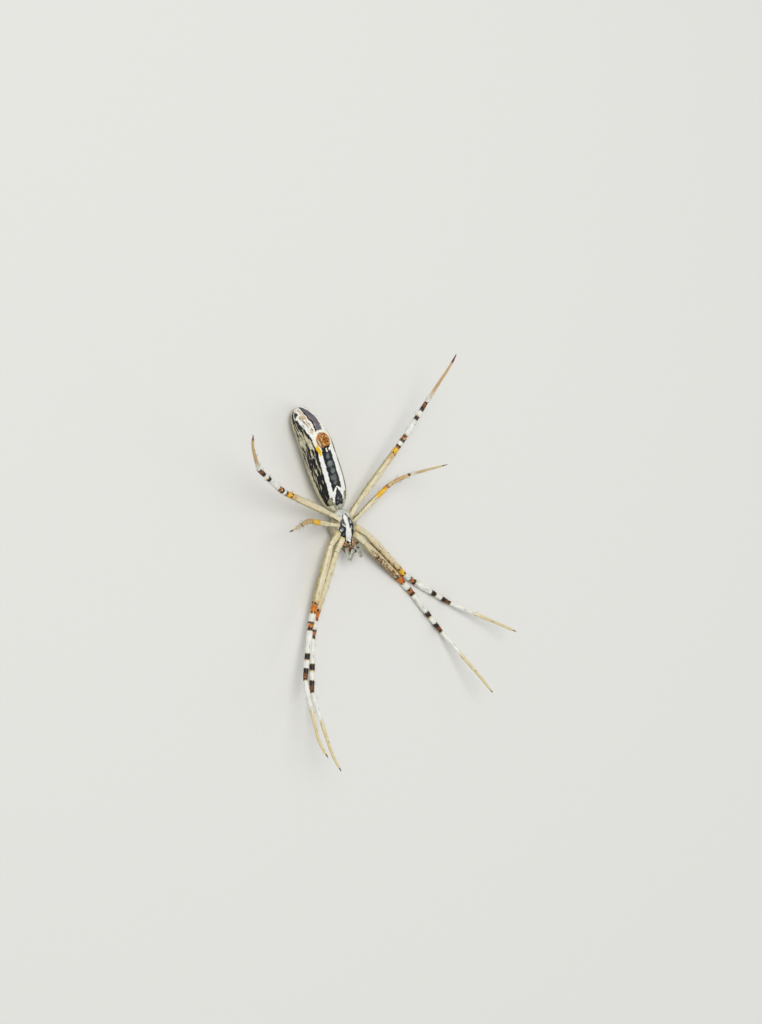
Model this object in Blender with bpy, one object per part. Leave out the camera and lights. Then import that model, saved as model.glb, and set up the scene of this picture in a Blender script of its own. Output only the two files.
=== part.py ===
"""Orb weaver spider, adult female, life size, as a still display model.

Metres, +Z up. The animal lies on its back, in the pose in which it hangs under its web: the belly faces up,
the head points to -Y and the tail to +Y, and the spider's own left is -X. It rests at z = 0 on its back,
on the tail end of its abdomen and on three knees; every tarsus is held up in the air.
"""

import math

import bmesh
import bpy
from mathutils import Matrix, Vector

mm = 0.001

# Driving sizes. The body is about 20 mm long from the jaws to the tail tip.
CARAPACE_LENGTH = 5.2 * mm
CARAPACE_HALF_WIDTH = 2.2 * mm
CARAPACE_FRONT = -3.05 * mm  # y of the face
STERNUM_SHARE = 0.5  # the belly side of the front body is this much narrower than the carapace
PEDICEL_LENGTH = 0.3 * mm
PEDICEL_RADIUS = 0.3 * mm
PEDICEL_HEIGHT = 2.0 * mm
ABDOMEN_LENGTH = 14.2 * mm
ABDOMEN_HALF_WIDTH = 2.0 * mm
ABDOMEN_YAW = 10  # degrees, tail swung to the spider's left
ABDOMEN_ASIDE = 0.58 * mm  # the abdomen's front end stands this far to the left of the waist
TAIL_BEND = -0.2 * mm  # how far the tail curls to the left of the abdomen's straight axis
BLUNTNESS = 3.4  # 2 is an ellipse; a larger value makes the ends of the body fuller
SPINNERET_SHARE = 0.67  # of the abdomen's length; the tail runs on past the spinnerets
HIP_HEIGHT = 2.0 * mm
GAP = 0.04 * mm  # between neighbouring parts
FLOOR = 0.0

# Profiles along each body part: (share of its length, share of its half-width), or (share, height in mm).
CARAPACE_WIDTHS = ((0, 0.36), (0.12, 0.5), (0.3, 0.6), (0.45, 0.82), (0.65, 1.0), (0.85, 0.85), (1, 0.5))
CARAPACE_BACK = ((0, 0.6), (0.15, 0.3), (0.4, 0.05), (0.65, -0.04), (0.85, 0.4), (1, 1.2))
CARAPACE_BELLY = ((0, 1.4), (0.12, 1.6), (0.27, 2.3), (0.4, 2.6), (0.65, 2.7), (0.85, 2.65), (1, 2.6))
ABDOMEN_WIDTHS = ((0, 0.92), (0.1, 1.1), (0.25, 1.13), (0.5, 1.1), (0.65, 1.06), (0.78, 1.05), (0.9, 1.05), (1, 0.95))
ABDOMEN_BACK = ((0, 1.0), (0.1, 0.6), (0.25, 0.25), (0.45, 0.0), (0.7, -0.12), (0.93, -0.1), (1, 0.0))
ABDOMEN_BELLY = ((0, 3.0), (0.1, 3.4), (0.25, 3.9), (0.5, 4.35), (0.67, 4.6), (0.78, 4.0), (0.9, 2.9), (1, 1.8))

# Leg pairs, front to back: hip place on the right side, the lengths of coxa with trochanter, femur, patella,
# tibia, metatarsus and tarsus, and the femur's radius, all in mm.
LEG_PAIRS = {
    1: {"hip": (1.2, -1.45), "lengths": (1.7, 8.8, 2.5, 7.1, 9.0, 2.4), "radius": 0.53},
    2: {"hip": (1.58, -0.52), "lengths": (1.8, 8.7, 2.3, 6.6, 8.6, 2.4), "radius": 0.52},
    3: {"hip": (1.45, 0.66), "lengths": (1.35, 4.9, 1.3, 2.9, 4.1, 1.4), "radius": 0.38},
    4: {"hip": (1.12, 1.36), "lengths": (1.7, 9.0, 1.7, 5.6, 6.3, 1.9), "radius": 0.47},
}

# The pose, in degrees: the hip's heading from +X, then heading and rise above the floor of femur, tibia,
# metatarsus and tarsus. The hip rises half as much as the femur, and the patella lies halfway to the tibia.
POSE = {
    "leg_1_left": (-132, (-119, -10), (-110, 7), (-106, 33), (-86, 26)),
    "leg_1_right": (-51, (-51, -9), (-63, 2), (-70, 23), (-63, 3)),
    "leg_2_left": (-142, (-121, -2), (-119, 11), (-111, 30), (-89, 35)),
    "leg_2_right": (-42, (-52.5, -9), (-42, 2), (-38, 14), (-44, 35)),
    "leg_3_left": (162, (159, 27), (178, 39), (174, 45), (174, 38)),
    "leg_3_right": (23, (30, 11), (5, -2), (12, 60), (7, 47)),
    "leg_4_left": (139, (148, 17), (139, 27), (128, 44), (104, 43)),
    "leg_4_right": (46, (42, 15), (40, 4), (66, 42), (75, 41)),
}

# Radius along each segment, as a share of the femur's radius: (share of the segment's length, share of radius).
SEGMENT_GIRTHS = {
    "coxa": ((0, 0.86), (0.55, 0.9), (1, 0.78)),
    "femur": ((0, 0.78), (0.2, 0.98), (0.5, 1.0), (0.8, 0.92), (1, 0.84)),
    "patella": ((0, 0.84), (0.45, 0.86), (1, 0.76)),
    "tibia": ((0, 0.76), (0.25, 0.8), (0.6, 0.7), (1, 0.64)),
    "foot": ((0, 0.64), (0.3, 0.54), (0.8, 0.5), (1, 0.48)),
}
THINNEST_RADIUS = 0.25 * mm
METATARSUS_SAG = 0.035  # how far the metatarsus bows, as a share of its length
MITRE_REACH = 0.3 * mm  # a segment runs this far past its joint before it is cut square to it
COXA_ROOT = 0.6 * mm  # a coxa starts this far inside the body, which then trims it

# Palps: hip, elbow and tip in mm on each side; the tarsus folds back over the mouth.
PALPS = {
    "palp_left": ((-0.92, -2.1, 2.3), (-0.8, -4.2, 2.35), (-0.28, -2.75, 3.12)),
    "palp_right": ((0.92, -2.1, 2.3), (1.0, -4.2, 2.35), (0.34, -2.75, 3.12)),
}
PALP_RADIUS = 0.26 * mm
UPPER_PALP_GIRTHS = ((0, 1.0), (0.5, 1.05), (0.97, 1.0), (1.08, 0.7))  # (share of its length, of the radius)
FOLDED_PALP_GIRTHS = ((-0.08, 0.7), (0.05, 1.02), (0.6, 1.15), (0.92, 1.05), (1, 0.7))
CHELICERA_SIZE = Vector((0.31, 0.42, 0.95)) * mm  # half-sizes
CHELICERA_PLACE = Vector((0.36, -3.28, 1.6)) * mm
CHELICERA_TAPER = 0.18  # narrower towards the mouth by this share
CHELICERA_LEAN = 12  # degrees, its mouth end tipped to the rear

# Eyes: name, place on the right side of the face, radius, in mm. The back of the head faces down.
EYES = {
    "front_median": ((0.2, -3.0, 0.95), 0.14),
    "rear_median": ((0.25, -2.86, 0.52), 0.13),
    "front_lateral": ((0.66, -2.78, 0.86), 0.1),
    "rear_lateral": ((0.72, -2.62, 0.6), 0.12),
}

# Spinnerets: a low cone with blunt lobes round it, square to the slope of the belly.
SPINNERET_RADIUS = 0.78 * mm
SPINNERET_HEIGHT = 0.62 * mm
SPINNERET_SUNK = 0.22 * mm
SPINNERET_LEAN = -10  # degrees
SPINNERET_LOBES = 6
LOBE_DEPTH = 0.14  # as a share of the radius

COLOURS = {
    "carapace": ((0.46, 0.42, 0.34, 1), 0.6),
    "pedicel": ((0.75, 0.72, 0.62, 1), 0.6),
    "abdomen": ((0.72, 0.68, 0.55, 1), 0.5),
    "spinnerets": ((0.45, 0.14, 0.04, 1), 0.55),
    "chelicera": ((0.35, 0.13, 0.05, 1), 0.35),
    "palp": ((0.66, 0.66, 0.56, 1), 0.6),
    "eye": ((0.01, 0.01, 0.012, 1), 0.08),
    "leg": ((0.66, 0.56, 0.36, 1), 0.55),
}


def new_collection(name):
    collection = bpy.data.collections.new(name)
    bpy.context.scene.collection.children.link(collection)
    return collection


def material_for(name, finish):
    """A Principled material of this part's own, with the colour and roughness of its finish."""
    colour, roughness = COLOURS[finish]
    material = bpy.data.materials.new(name)
    material.use_nodes = True
    shader = material.node_tree.nodes["Principled BSDF"]
    shader.inputs["Base Color"].default_value = colour
    shader.inputs["Roughness"].default_value = roughness
    shader.inputs["Metallic"].default_value = 0.0
    return material


def add_part(collection, name, bm, finish):
    bmesh.ops.recalc_face_normals(bm, faces=bm.faces)
    mesh = bpy.data.meshes.new(name)
    bm.to_mesh(mesh)
    bm.free()
    mesh.shade_smooth()
    mesh.set_sharp_from_angle(angle=math.radians(50))
    mesh.materials.append(material_for(name, finish))
    part = bpy.data.objects.new(name, mesh)
    collection.objects.link(part)
    return part


def along(pairs, share):
    """The value at this share of a length, on a smooth curve through the (share, value) pairs."""

    def slope(index):
        low, high = pairs[max(index - 1, 0)], pairs[min(index + 1, len(pairs) - 1)]
        return (high[1] - low[1]) / (high[0] - low[0])

    index = 0
    while index < len(pairs) - 2 and share > pairs[index + 1][0]:
        index += 1
    (start, low), (end, high) = pairs[index], pairs[index + 1]
    span = end - start
    t = min(1.0, max(0.0, (share - start) / span))
    ease = t * t * (3 - 2 * t)
    bend = slope(index) * t * (1 - t) ** 2 - slope(index + 1) * t * t * (1 - t)
    return low + (high - low) * ease + bend * span


def cut_off(bm, point, normal):
    """Removes what lies on the normal's side of a plane, and closes the cut with a flat face."""
    geometry = bm.verts[:] + bm.edges[:] + bm.faces[:]
    cut = bmesh.ops.bisect_plane(bm, geom=geometry, dist=1e-7, plane_co=point, plane_no=normal, clear_outer=True)
    rim = [item for item in cut["geom_cut"] if isinstance(item, bmesh.types.BMEdge)]
    if rim:
        bmesh.ops.contextual_create(bm, geom=rim)


def rest_on_floor(bm):
    """Cuts a small flat where the form would reach below the floor."""
    if min(vert.co.z for vert in bm.verts) < FLOOR:
        cut_off(bm, Vector((0, 0, FLOOR)), Vector((0, 0, -1)))


def body_form(divisions, size, profiles, narrowing=0.0, bend=0.0):
    """A ball drawn out along +Y from the origin into a body: width, back and belly follow their profiles."""
    length, half_width = size
    widths, back, belly = profiles
    bm = bmesh.new()
    bmesh.ops.create_uvsphere(bm, u_segments=divisions[0], v_segments=divisions[1], radius=1.0)
    bmesh.ops.rotate(bm, verts=bm.verts, matrix=Matrix.Rotation(math.radians(90), 3, "X"))
    for vert in bm.verts:
        around = math.atan2(vert.co.z, vert.co.x)
        share = (vert.co.y + 1) / 2
        swell = max(0.0, 1 - abs(vert.co.y) ** BLUNTNESS) ** (1 / BLUNTNESS)
        low, high = along(back, share) * mm, along(belly, share) * mm
        half_height = (high - low) / 2 * swell
        across = math.cos(around) * (1 - narrowing * max(0.0, math.sin(around)) ** 1.5)
        vert.co.x = half_width * along(widths, share) * swell * across - bend * share**3
        vert.co.z = (low + high) / 2 + half_height * math.sin(around)
        vert.co.y = length * share
    return bm


def build_front_body(collection):
    size = (CARAPACE_LENGTH, CARAPACE_HALF_WIDTH)
    profiles = (CARAPACE_WIDTHS, CARAPACE_BACK, CARAPACE_BELLY)
    bm = body_form((28, 20), size, profiles, narrowing=STERNUM_SHARE)
    bmesh.ops.translate(bm, verts=bm.verts, vec=(0, CARAPACE_FRONT, 0))
    rest_on_floor(bm)
    return add_part(collection, "cephalothorax", bm, "carapace")


def abdomen_frame():
    """The matrix that places the abdomen, which is modelled along +Y from its front end."""
    front = CARAPACE_FRONT + CARAPACE_LENGTH + PEDICEL_LENGTH
    return Matrix.Translation((-ABDOMEN_ASIDE, front, 0)) @ Matrix.Rotation(math.radians(ABDOMEN_YAW), 4, "Z")


def build_abdomen(collection):
    size = (ABDOMEN_LENGTH, ABDOMEN_HALF_WIDTH)
    profiles = (ABDOMEN_WIDTHS, ABDOMEN_BACK, ABDOMEN_BELLY)
    bm = body_form((32, 28), size, profiles, bend=TAIL_BEND)
    rest_on_floor(bm)
    bm.transform(abdomen_frame())
    return add_part(collection, "abdomen", bm, "abdomen")


def build_pedicel(collection):
    """The narrow waist between the two halves of the body."""
    bm = bmesh.new()
    length = PEDICEL_LENGTH - 2 * GAP
    bmesh.ops.create_cone(
        bm, cap_ends=True, segments=14, radius1=PEDICEL_RADIUS, radius2=PEDICEL_RADIUS, depth=length
    )
    bmesh.ops.rotate(bm, verts=bm.verts, matrix=Matrix.Rotation(math.radians(90), 3, "X"))
    middle = CARAPACE_FRONT + CARAPACE_LENGTH + PEDICEL_LENGTH / 2
    bmesh.ops.translate(bm, verts=bm.verts, vec=(0, middle, PEDICEL_HEIGHT))
    return add_part(collection, "pedicel", bm, "pedicel")


def build_spinnerets(collection, clearance):
    """The rosette that stands on the belly side of the abdomen."""
    bm = bmesh.new()
    bmesh.ops.create_cone(bm, cap_ends=True, segments=36, radius1=1.0, radius2=0.45, depth=1.0)
    rim = [edge for edge in bm.edges if all(vert.co.z > 0 for vert in edge.verts)]
    bmesh.ops.bevel(bm, geom=rim, offset=0.18, segments=2, affect="EDGES", profile=0.6)
    for vert in bm.verts:
        around = math.atan2(vert.co.y, vert.co.x)
        lobe = 1 + LOBE_DEPTH * math.cos(SPINNERET_LOBES * around) * (vert.co.z + 0.5)
        vert.co.x *= SPINNERET_RADIUS * lobe
        vert.co.y *= SPINNERET_RADIUS * lobe
        vert.co.z = (vert.co.z + 0.5) * SPINNERET_HEIGHT
    top = along(ABDOMEN_BELLY, SPINNERET_SHARE) * mm
    lean = Matrix.Rotation(math.radians(SPINNERET_LEAN), 4, "X")
    aside = -TAIL_BEND * SPINNERET_SHARE**3
    place = Matrix.Translation((aside, ABDOMEN_LENGTH * SPINNERET_SHARE, top - SPINNERET_SUNK))
    bm.transform(abdomen_frame() @ place @ lean)
    trim(add_part(collection, "spinnerets", bm, "spinnerets"), clearance)


def build_chelicera(collection, clearance, side_name, side):
    """One jaw: an upright egg in front of the mouth, leaning back towards it."""
    bm = bmesh.new()
    bmesh.ops.create_uvsphere(bm, u_segments=14, v_segments=12, radius=1.0)
    for vert in bm.verts:
        thick = 1 - CHELICERA_TAPER * vert.co.z
        vert.co = Vector(
            (vert.co.x * CHELICERA_SIZE.x * thick, vert.co.y * CHELICERA_SIZE.y * thick, vert.co.z * CHELICERA_SIZE.z)
        )
    turn = Matrix.Rotation(math.radians(CHELICERA_LEAN), 4, "X")
    place = Matrix.Translation((side * CHELICERA_PLACE.x, CHELICERA_PLACE.y, CHELICERA_PLACE.z))
    bm.transform(place @ turn)
    trim(add_part(collection, f"chelicera_{side_name}", bm, "chelicera"), clearance)


def build_eyes(collection, clearance):
    for side_name, side in (("left", -1), ("right", 1)):
        for name, ((x, y, z), radius) in EYES.items():
            bm = bmesh.new()
            bmesh.ops.create_uvsphere(bm, u_segments=10, v_segments=7, radius=radius * mm)
            bmesh.ops.translate(bm, verts=bm.verts, vec=(side * x * mm, y * mm, z * mm))
            trim(add_part(collection, f"eye_{name}_{side_name}", bm, "eye"), clearance)


def tube(points, radii):
    """A closed tube of changing thickness through these points, as a mesh."""
    curve = bpy.data.curves.new("tube", "CURVE")
    curve.dimensions = "3D"
    curve.bevel_depth = 1.0
    curve.bevel_resolution = 3
    curve.use_fill_caps = True
    spline = curve.splines.new("POLY")
    spline.points.add(len(points) - 1)
    for point, place, radius in zip(spline.points, points, radii):
        point.co = (*place, 1)
        point.radius = radius
    guide = bpy.data.objects.new("tube", curve)
    bpy.context.scene.collection.objects.link(guide)
    graph = bpy.context.evaluated_depsgraph_get()
    mesh = bpy.data.meshes.new_from_object(guide.evaluated_get(graph))
    bpy.data.objects.remove(guide)
    bm = bmesh.new()
    bm.from_mesh(mesh)
    bpy.data.meshes.remove(mesh)
    bmesh.ops.remove_doubles(bm, verts=bm.verts, dist=1e-6)
    return bm


def direction(heading, rise):
    heading, rise = math.radians(heading), math.radians(rise)
    return Vector((math.cos(heading) * math.cos(rise), math.sin(heading) * math.cos(rise), math.sin(rise)))


def segment(collection, name, start, end, before, after, girths, radius):
    """One leg segment: a tube from start to end, mitred to its neighbours' directions and flat on the floor."""
    aim = (end - start).normalized()
    length = (end - start).length
    points = [start + aim * length * share for share, _ in girths]
    radii = [max(THINNEST_RADIUS, radius * girth) for _, girth in girths]
    if before is not None:
        points[0] = start - aim * MITRE_REACH
    points[-1] = end + aim * MITRE_REACH
    bm = tube(points, radii)
    if before is not None:
        square = (before + aim).normalized()
        cut_off(bm, start + square * GAP / 2, -square)
    square = (after + aim).normalized()
    cut_off(bm, end - square * GAP / 2, square)
    rest_on_floor(bm)
    return add_part(collection, name, bm, "leg")


def foot(collection, name, start, ankle, tip, before, radius):
    """Metatarsus and tarsus in one piece: the metatarsus bows gently and the tarsus bends on from it."""
    girths = SEGMENT_GIRTHS["foot"]
    split = (ankle - start).length / ((ankle - start).length + (tip - ankle).length)
    bow = (ankle - (start + tip) / 2).normalized() * (ankle - start).length * METATARSUS_SAG
    steps = (0, 0.2, 0.4, 0.6, 0.8, 1)
    points = [start + (ankle - start) * step + bow * 4 * step * (1 - step) for step in steps]
    shares = [split * step for step in steps]
    points += [ankle.lerp(tip, 0.5), tip]
    shares += [(1 + split) / 2, 1]
    radii = [max(THINNEST_RADIUS, radius * along(girths, share)) for share in shares]
    inward = (points[1] - points[0]).normalized()
    points[0] -= inward * MITRE_REACH
    bm = tube(points, radii)
    square = (before + inward).normalized()
    cut_off(bm, start + square * GAP / 2, -square)
    rest_on_floor(bm)
    return add_part(collection, name, bm, "leg")


def build_leg(collection, clearance, name, pose):
    pair = LEG_PAIRS[int(name[4])]
    side = -1 if name.endswith("left") else 1
    radius = pair["radius"] * mm
    hip_heading, femur, tibia, metatarsus, tarsus = pose
    aims = [
        direction(hip_heading, femur[1] / 2),
        direction(*femur),
        direction((femur[0] + tibia[0]) / 2, (femur[1] + tibia[1]) / 2),
        direction(*tibia),
        direction(*metatarsus),
        direction(*tarsus),
    ]
    joints = [Vector((side * pair["hip"][0] * mm, pair["hip"][1] * mm, HIP_HEIGHT))]
    for aim, length in zip(aims, pair["lengths"]):
        joints.append(joints[-1] + aim * length * mm)
    root = joints[0] - aims[0] * COXA_ROOT
    coxa = segment(collection, f"{name}_coxa", root, joints[1], None, aims[1], SEGMENT_GIRTHS["coxa"], radius)
    trim(coxa, clearance)
    for index, part in enumerate(("femur", "patella", "tibia"), start=1):
        segment(
            collection, f"{name}_{part}", joints[index], joints[index + 1], aims[index - 1], aims[index + 1],
            SEGMENT_GIRTHS[part], radius,
        )
    foot(collection, f"{name}_foot", joints[4], joints[5], joints[6], aims[3], radius)


def build_palp(collection, cutters, clearance, name, stations):
    """One palp: its upper joints reach out from beside the mouth, and its last joints fold back over it."""
    hip, elbow, tip = (Vector(station) * mm for station in stations)
    palp = add_part(collection, name, rounded_rod(hip, elbow, UPPER_PALP_GIRTHS), "palp")
    folded = helper(cutters, f"{name}_folded_end", rounded_rod(elbow, tip, FOLDED_PALP_GIRTHS))
    join = palp.modifiers.new("folded end", "BOOLEAN")
    join.operation = "UNION"
    join.object = folded
    trim(palp, clearance)


def rounded_rod(start, end, girths):
    """A rod whose ends run a little past start and end; girths are (share of its length, share of its radius)."""
    points = [start + (end - start) * share for share, _ in girths]
    return tube(points, [PALP_RADIUS * girth for _, girth in girths])


def helper(cutters, name, bm):
    """A shape that only cuts or joins: it isn't part of the model by itself."""
    bmesh.ops.recalc_face_normals(bm, faces=bm.faces)
    mesh = bpy.data.meshes.new(name)
    bm.to_mesh(mesh)
    bm.free()
    shape = bpy.data.objects.new(name, mesh)
    shape.hide_render = True
    shape.display_type = "WIRE"
    cutters.objects.link(shape)
    return shape


def clearance_of(cutters, body):
    """A body grown by the gap, which trims what stands on it so that the two don't overlap."""
    bm = bmesh.new()
    bm.from_mesh(body.data)
    bm.normal_update()
    for vert in bm.verts:
        vert.co += vert.normal * GAP
    return helper(cutters, f"{body.name}_clearance", bm)


def trim(part, clearance):
    cut = part.modifiers.new(f"clear of {clearance.name}", "BOOLEAN")
    cut.operation = "DIFFERENCE"
    cut.object = clearance


def centre_over_origin(parts, helpers):
    """Moves the whole model in X and Y, so that the middle of its box stands over the origin."""
    places = [vert.co for part in parts for vert in part.data.vertices]
    middle = [(min(place[axis] for place in places) + max(place[axis] for place in places)) / 2 for axis in (0, 1)]
    shift = Matrix.Translation((-middle[0], -middle[1], 0))
    for thing in (*parts, *helpers):
        thing.data.transform(shift)


def main():
    for old in list(bpy.data.objects):
        bpy.data.objects.remove(old, do_unlink=True)
    spider = new_collection("orb_weaver_spider")
    cutters = new_collection("cutters")
    body_clearance = clearance_of(cutters, build_front_body(spider))
    build_pedicel(spider)
    abdomen_clearance = clearance_of(cutters, build_abdomen(spider))
    build_spinnerets(spider, abdomen_clearance)
    build_eyes(spider, body_clearance)
    for side_name, side in (("left", -1), ("right", 1)):
        build_chelicera(spider, body_clearance, side_name, side)
    for name, stations in PALPS.items():
        build_palp(spider, cutters, body_clearance, name, stations)
    for name, pose in POSE.items():
        build_leg(spider, body_clearance, name, pose)
    centre_over_origin(spider.objects, cutters.objects)


main()
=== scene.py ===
import math
import random

import bmesh
import bpy
from mathutils import Matrix, Quaternion, Vector, noise
from mathutils.kdtree import KDTree


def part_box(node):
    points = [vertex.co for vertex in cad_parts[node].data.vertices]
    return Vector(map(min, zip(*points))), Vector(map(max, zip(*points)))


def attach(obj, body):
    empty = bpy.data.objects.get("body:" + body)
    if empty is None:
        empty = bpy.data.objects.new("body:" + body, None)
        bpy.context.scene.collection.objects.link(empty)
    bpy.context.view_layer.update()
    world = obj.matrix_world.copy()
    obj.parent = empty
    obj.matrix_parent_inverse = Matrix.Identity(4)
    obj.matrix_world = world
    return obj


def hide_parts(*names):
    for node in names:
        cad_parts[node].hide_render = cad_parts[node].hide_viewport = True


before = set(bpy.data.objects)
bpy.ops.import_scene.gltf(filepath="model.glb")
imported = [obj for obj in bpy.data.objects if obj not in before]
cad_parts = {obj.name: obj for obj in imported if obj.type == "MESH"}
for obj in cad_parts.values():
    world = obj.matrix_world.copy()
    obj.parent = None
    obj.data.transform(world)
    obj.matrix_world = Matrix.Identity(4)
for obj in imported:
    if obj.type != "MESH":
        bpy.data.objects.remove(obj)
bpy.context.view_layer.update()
mm = 0.001
rng = random.Random(11)
print("frame loaded")

# The body's own middle on the floor: the carapace's midline, 3.05 mm behind the face.
faceToMiddle = 3.05 * mm
carapaceLow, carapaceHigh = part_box("cephalothorax")
bodyOrigin = Vector(((carapaceLow.x + carapaceHigh.x) / 2, carapaceLow.y + faceToMiddle, 0))
coatDepth = 0.03  # mm: the skin lies this far inside the outline, and the hairs fill the rest
legNames = [f"leg_{pair}_{side}" for pair in (1, 2, 3, 4) for side in ("left", "right")]


def deselectAll():
    if bpy.context.object and bpy.context.object.mode != "OBJECT":
        bpy.ops.object.mode_set(mode="OBJECT")
    bpy.ops.object.select_all(action="DESELECT")


def makeActive(piece):
    deselectAll()
    bpy.context.view_layer.objects.active = piece
    piece.select_set(True)


def applyModifier(piece, kind, settings):
    makeActive(piece)
    modifier = piece.modifiers.new(kind.lower(), kind)
    for key, value in settings.items():
        setattr(modifier, key, value)
    bpy.ops.object.modifier_apply(modifier=modifier.name)


def applyPlace(piece):
    makeActive(piece)
    bpy.ops.object.transform_apply(location=True, rotation=True, scale=True)


def newPiece(name, verts, faces):
    mesh = bpy.data.meshes.new(name)
    mesh.from_pydata(verts, [], faces)
    mesh.update()
    piece = bpy.data.objects.new(name, mesh)
    bpy.context.scene.collection.objects.link(piece)
    return piece


def joinPieces(name, parts):
    makeActive(parts[0])
    for part in parts:
        part.select_set(True)
    bpy.ops.object.join()
    joined = bpy.context.object
    joined.name = joined.data.name = name
    return joined


def treeOf(points):
    tree = KDTree(len(points))
    for index, point in enumerate(points):
        tree.insert(point, index)
    tree.balance()
    return tree


def along(pairs, share):
    # The value at this share of a length, on a smooth curve through the (share, value) pairs.
    def slope(index):
        low, high = pairs[max(index - 1, 0)], pairs[min(index + 1, len(pairs) - 1)]
        return (high[1] - low[1]) / (high[0] - low[0])

    index = 0
    while index < len(pairs) - 2 and share > pairs[index + 1][0]:
        index += 1
    (start, low), (end, high) = pairs[index], pairs[index + 1]
    t = min(1.0, max(0.0, (share - start) / (end - start)))
    ease = t * t * (3 - 2 * t)
    bend = slope(index) * t * (1 - t) ** 2 - slope(index + 1) * t * t * (1 - t)
    return low + (high - low) * ease + bend * (end - start)


def ramp(low, high, value):
    t = min(1.0, max(0.0, (value - low) / (high - low)))
    return t * t * (3 - 2 * t)


# A mark is its distance in mm from its own edge, positive inside it. Skin and hairs carry the same marks.
unmarked = -1.0
markLayers = {
    "paleMarks": ("white", "yellow", "orange"),
    "darkMarks": ("brown", "black", "slate"),
    "softMarks": ("khaki", "peach", "cream"),
    "tintMarks": ("violet", "oliveShade", "ash"),
    "zoneMarks": ("streaks", "lines", "mottle"),  # shares of a patterned zone, from 0 to 1
}


class Marks(dict):
    # The marks of one spot: where two of one name overlap, they join.
    def add(self, name, distance):
        self[name] = max(self.get(name, unmarked), distance)


def storeVectors(mesh, layer, values):
    mesh.attributes.new(layer, "FLOAT_VECTOR", "POINT").data.foreach_set("vector", values)


def storeMarks(mesh, spots):
    # spots: one (marks, place) for each vertex, place being a seamless coordinate on the skin in mm.
    for layer, names in markLayers.items():
        rest = 0.0 if layer == "zoneMarks" else unmarked
        storeVectors(mesh, layer, [marks.get(name, rest) for marks, _ in spots for name in names])
    storeVectors(mesh, "skinPlace", [value for _, place in spots for value in place])


def shapedBody(name, form):
    # A ball drawn out along +Y: each ring is resized and moved to its profile, then the cage is subdivided.
    deselectAll()
    bpy.ops.mesh.primitive_uv_sphere_add(segments=form["sides"], ring_count=form["rings"], radius=1.0)
    body = bpy.context.object
    body.name = body.data.name = name
    body.rotation_euler = (math.radians(90), 0, 0)
    applyPlace(body)
    rings = {}
    for vert in body.data.vertices:
        rings.setdefault(round(vert.co.y, 4), []).append(vert.index)
    bpy.ops.object.mode_set(mode="EDIT")
    bpy.ops.mesh.select_mode(type="VERT")
    for place, indices in rings.items():
        mesh = bmesh.from_edit_mesh(body.data)
        bpy.ops.mesh.select_all(action="DESELECT")
        mesh.verts.ensure_lookup_table()
        for index in indices:
            mesh.verts[index].select = True
        mesh.select_flush(True)
        share = (place + 1) / 2
        swell = max(0.0, 1 - abs(place) ** form["bluntness"]) ** (1 / form["bluntness"])
        radius = max(1e-4, math.sqrt(max(0.0, 1 - place * place)))
        low = along(form["back"], share) + coatDepth
        high = along(form["belly"], share) - coatDepth
        across = (form["halfWidth"] * along(form["widths"], share) - coatDepth) * swell / radius
        up = (high - low) / 2 * swell / radius
        bpy.ops.transform.resize(value=(across, 1, up), center_override=(0, place, 0))
        bpy.ops.transform.translate(
            value=(-form["bend"] * share**3, form["length"] * share - place, (low + high) / 2)
        )
    bpy.ops.object.mode_set(mode="OBJECT")
    for vert in body.data.vertices:  # the belly side is narrower than the back
        share = vert.co.y / form["length"]
        middle = (along(form["back"], share) + along(form["belly"], share)) / 2
        reach = max(1e-3, (along(form["belly"], share) - along(form["back"], share)) / 2)
        rise = min(1.0, max(0.0, (vert.co.z - middle) / reach))
        vert.co.x *= 1 - form["narrowing"] * rise**1.5
    applyModifier(body, "SUBSURF", {"levels": 2, "render_levels": 2})
    return body


def bodyAngle(form, place):
    # (angle from the belly's midline in degrees, positive to the spider's right; share of the length)
    share = min(1.0, max(0.0, place.y / form["length"]))
    middle = (along(form["back"], share) + along(form["belly"], share)) / 2
    reach = (along(form["belly"], share) - along(form["back"], share)) / 2
    width = form["halfWidth"] * along(form["widths"], share)
    x = (place.x + form["bend"] * share**3) / width
    return math.degrees(math.atan2(x, (place.z - middle) / reach)), share


carapace = {
    "sides": 28, "rings": 24, "length": 5.2, "halfWidth": 2.2, "bluntness": 3.4, "narrowing": 0.5, "bend": 0,
    "widths": ((0, 0.36), (0.12, 0.5), (0.3, 0.6), (0.45, 0.82), (0.65, 1.0), (0.85, 0.85), (1, 0.5)),
    "back": ((0, 0.6), (0.15, 0.3), (0.4, 0.05), (0.65, -0.04), (0.85, 0.4), (1, 1.2)),
    "belly": ((0, 1.4), (0.12, 1.6), (0.27, 2.3), (0.4, 2.6), (0.65, 2.7), (0.85, 2.65), (1, 2.6)),
    "sternumMiddle": -0.17,  # mm: the stripe lies a little to the left, as the body is rolled
    "sternumWidths": (  # of the shield-shaped plate between the coxae, as (mm behind the middle, half-width)
        (-1.9, 0.42), (-1.4, 0.75), (-0.7, 0.98), (0.1, 1.08), (0.7, 0.84), (1.2, 0.5), (1.7, 0.2),
    ),
    "stripeWidths": (  # of the white stripe down the plate
        (-1.9, 0.26), (-1.2, 0.36), (-0.6, 0.34), (-0.1, 0.24), (0.3, 0.2), (0.8, 0.26), (1.3, 0.24),
        (1.7, 0.1),
    ),
    "sternumSpots": (  # from the middle, and radius
        (-0.8, -0.08, 0.2), (-0.66, -0.78, 0.1), (0.6, 0.62, 0.17), (0.68, -0.3, 0.09), (-0.5, 0.85, 0.07),
    ),
}
eyeRows = ("front_median", "rear_median", "front_lateral", "rear_lateral")
eyePlaces = [
    # middle and half-width of the four eyes of one side, read from the frame
    (*((low + high) / 2 / mm - bodyOrigin / mm), (high.x - low.x) / 2 / mm)
    for low, high in (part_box(f"eye_{name}_right") for name in eyeRows)
]


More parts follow.
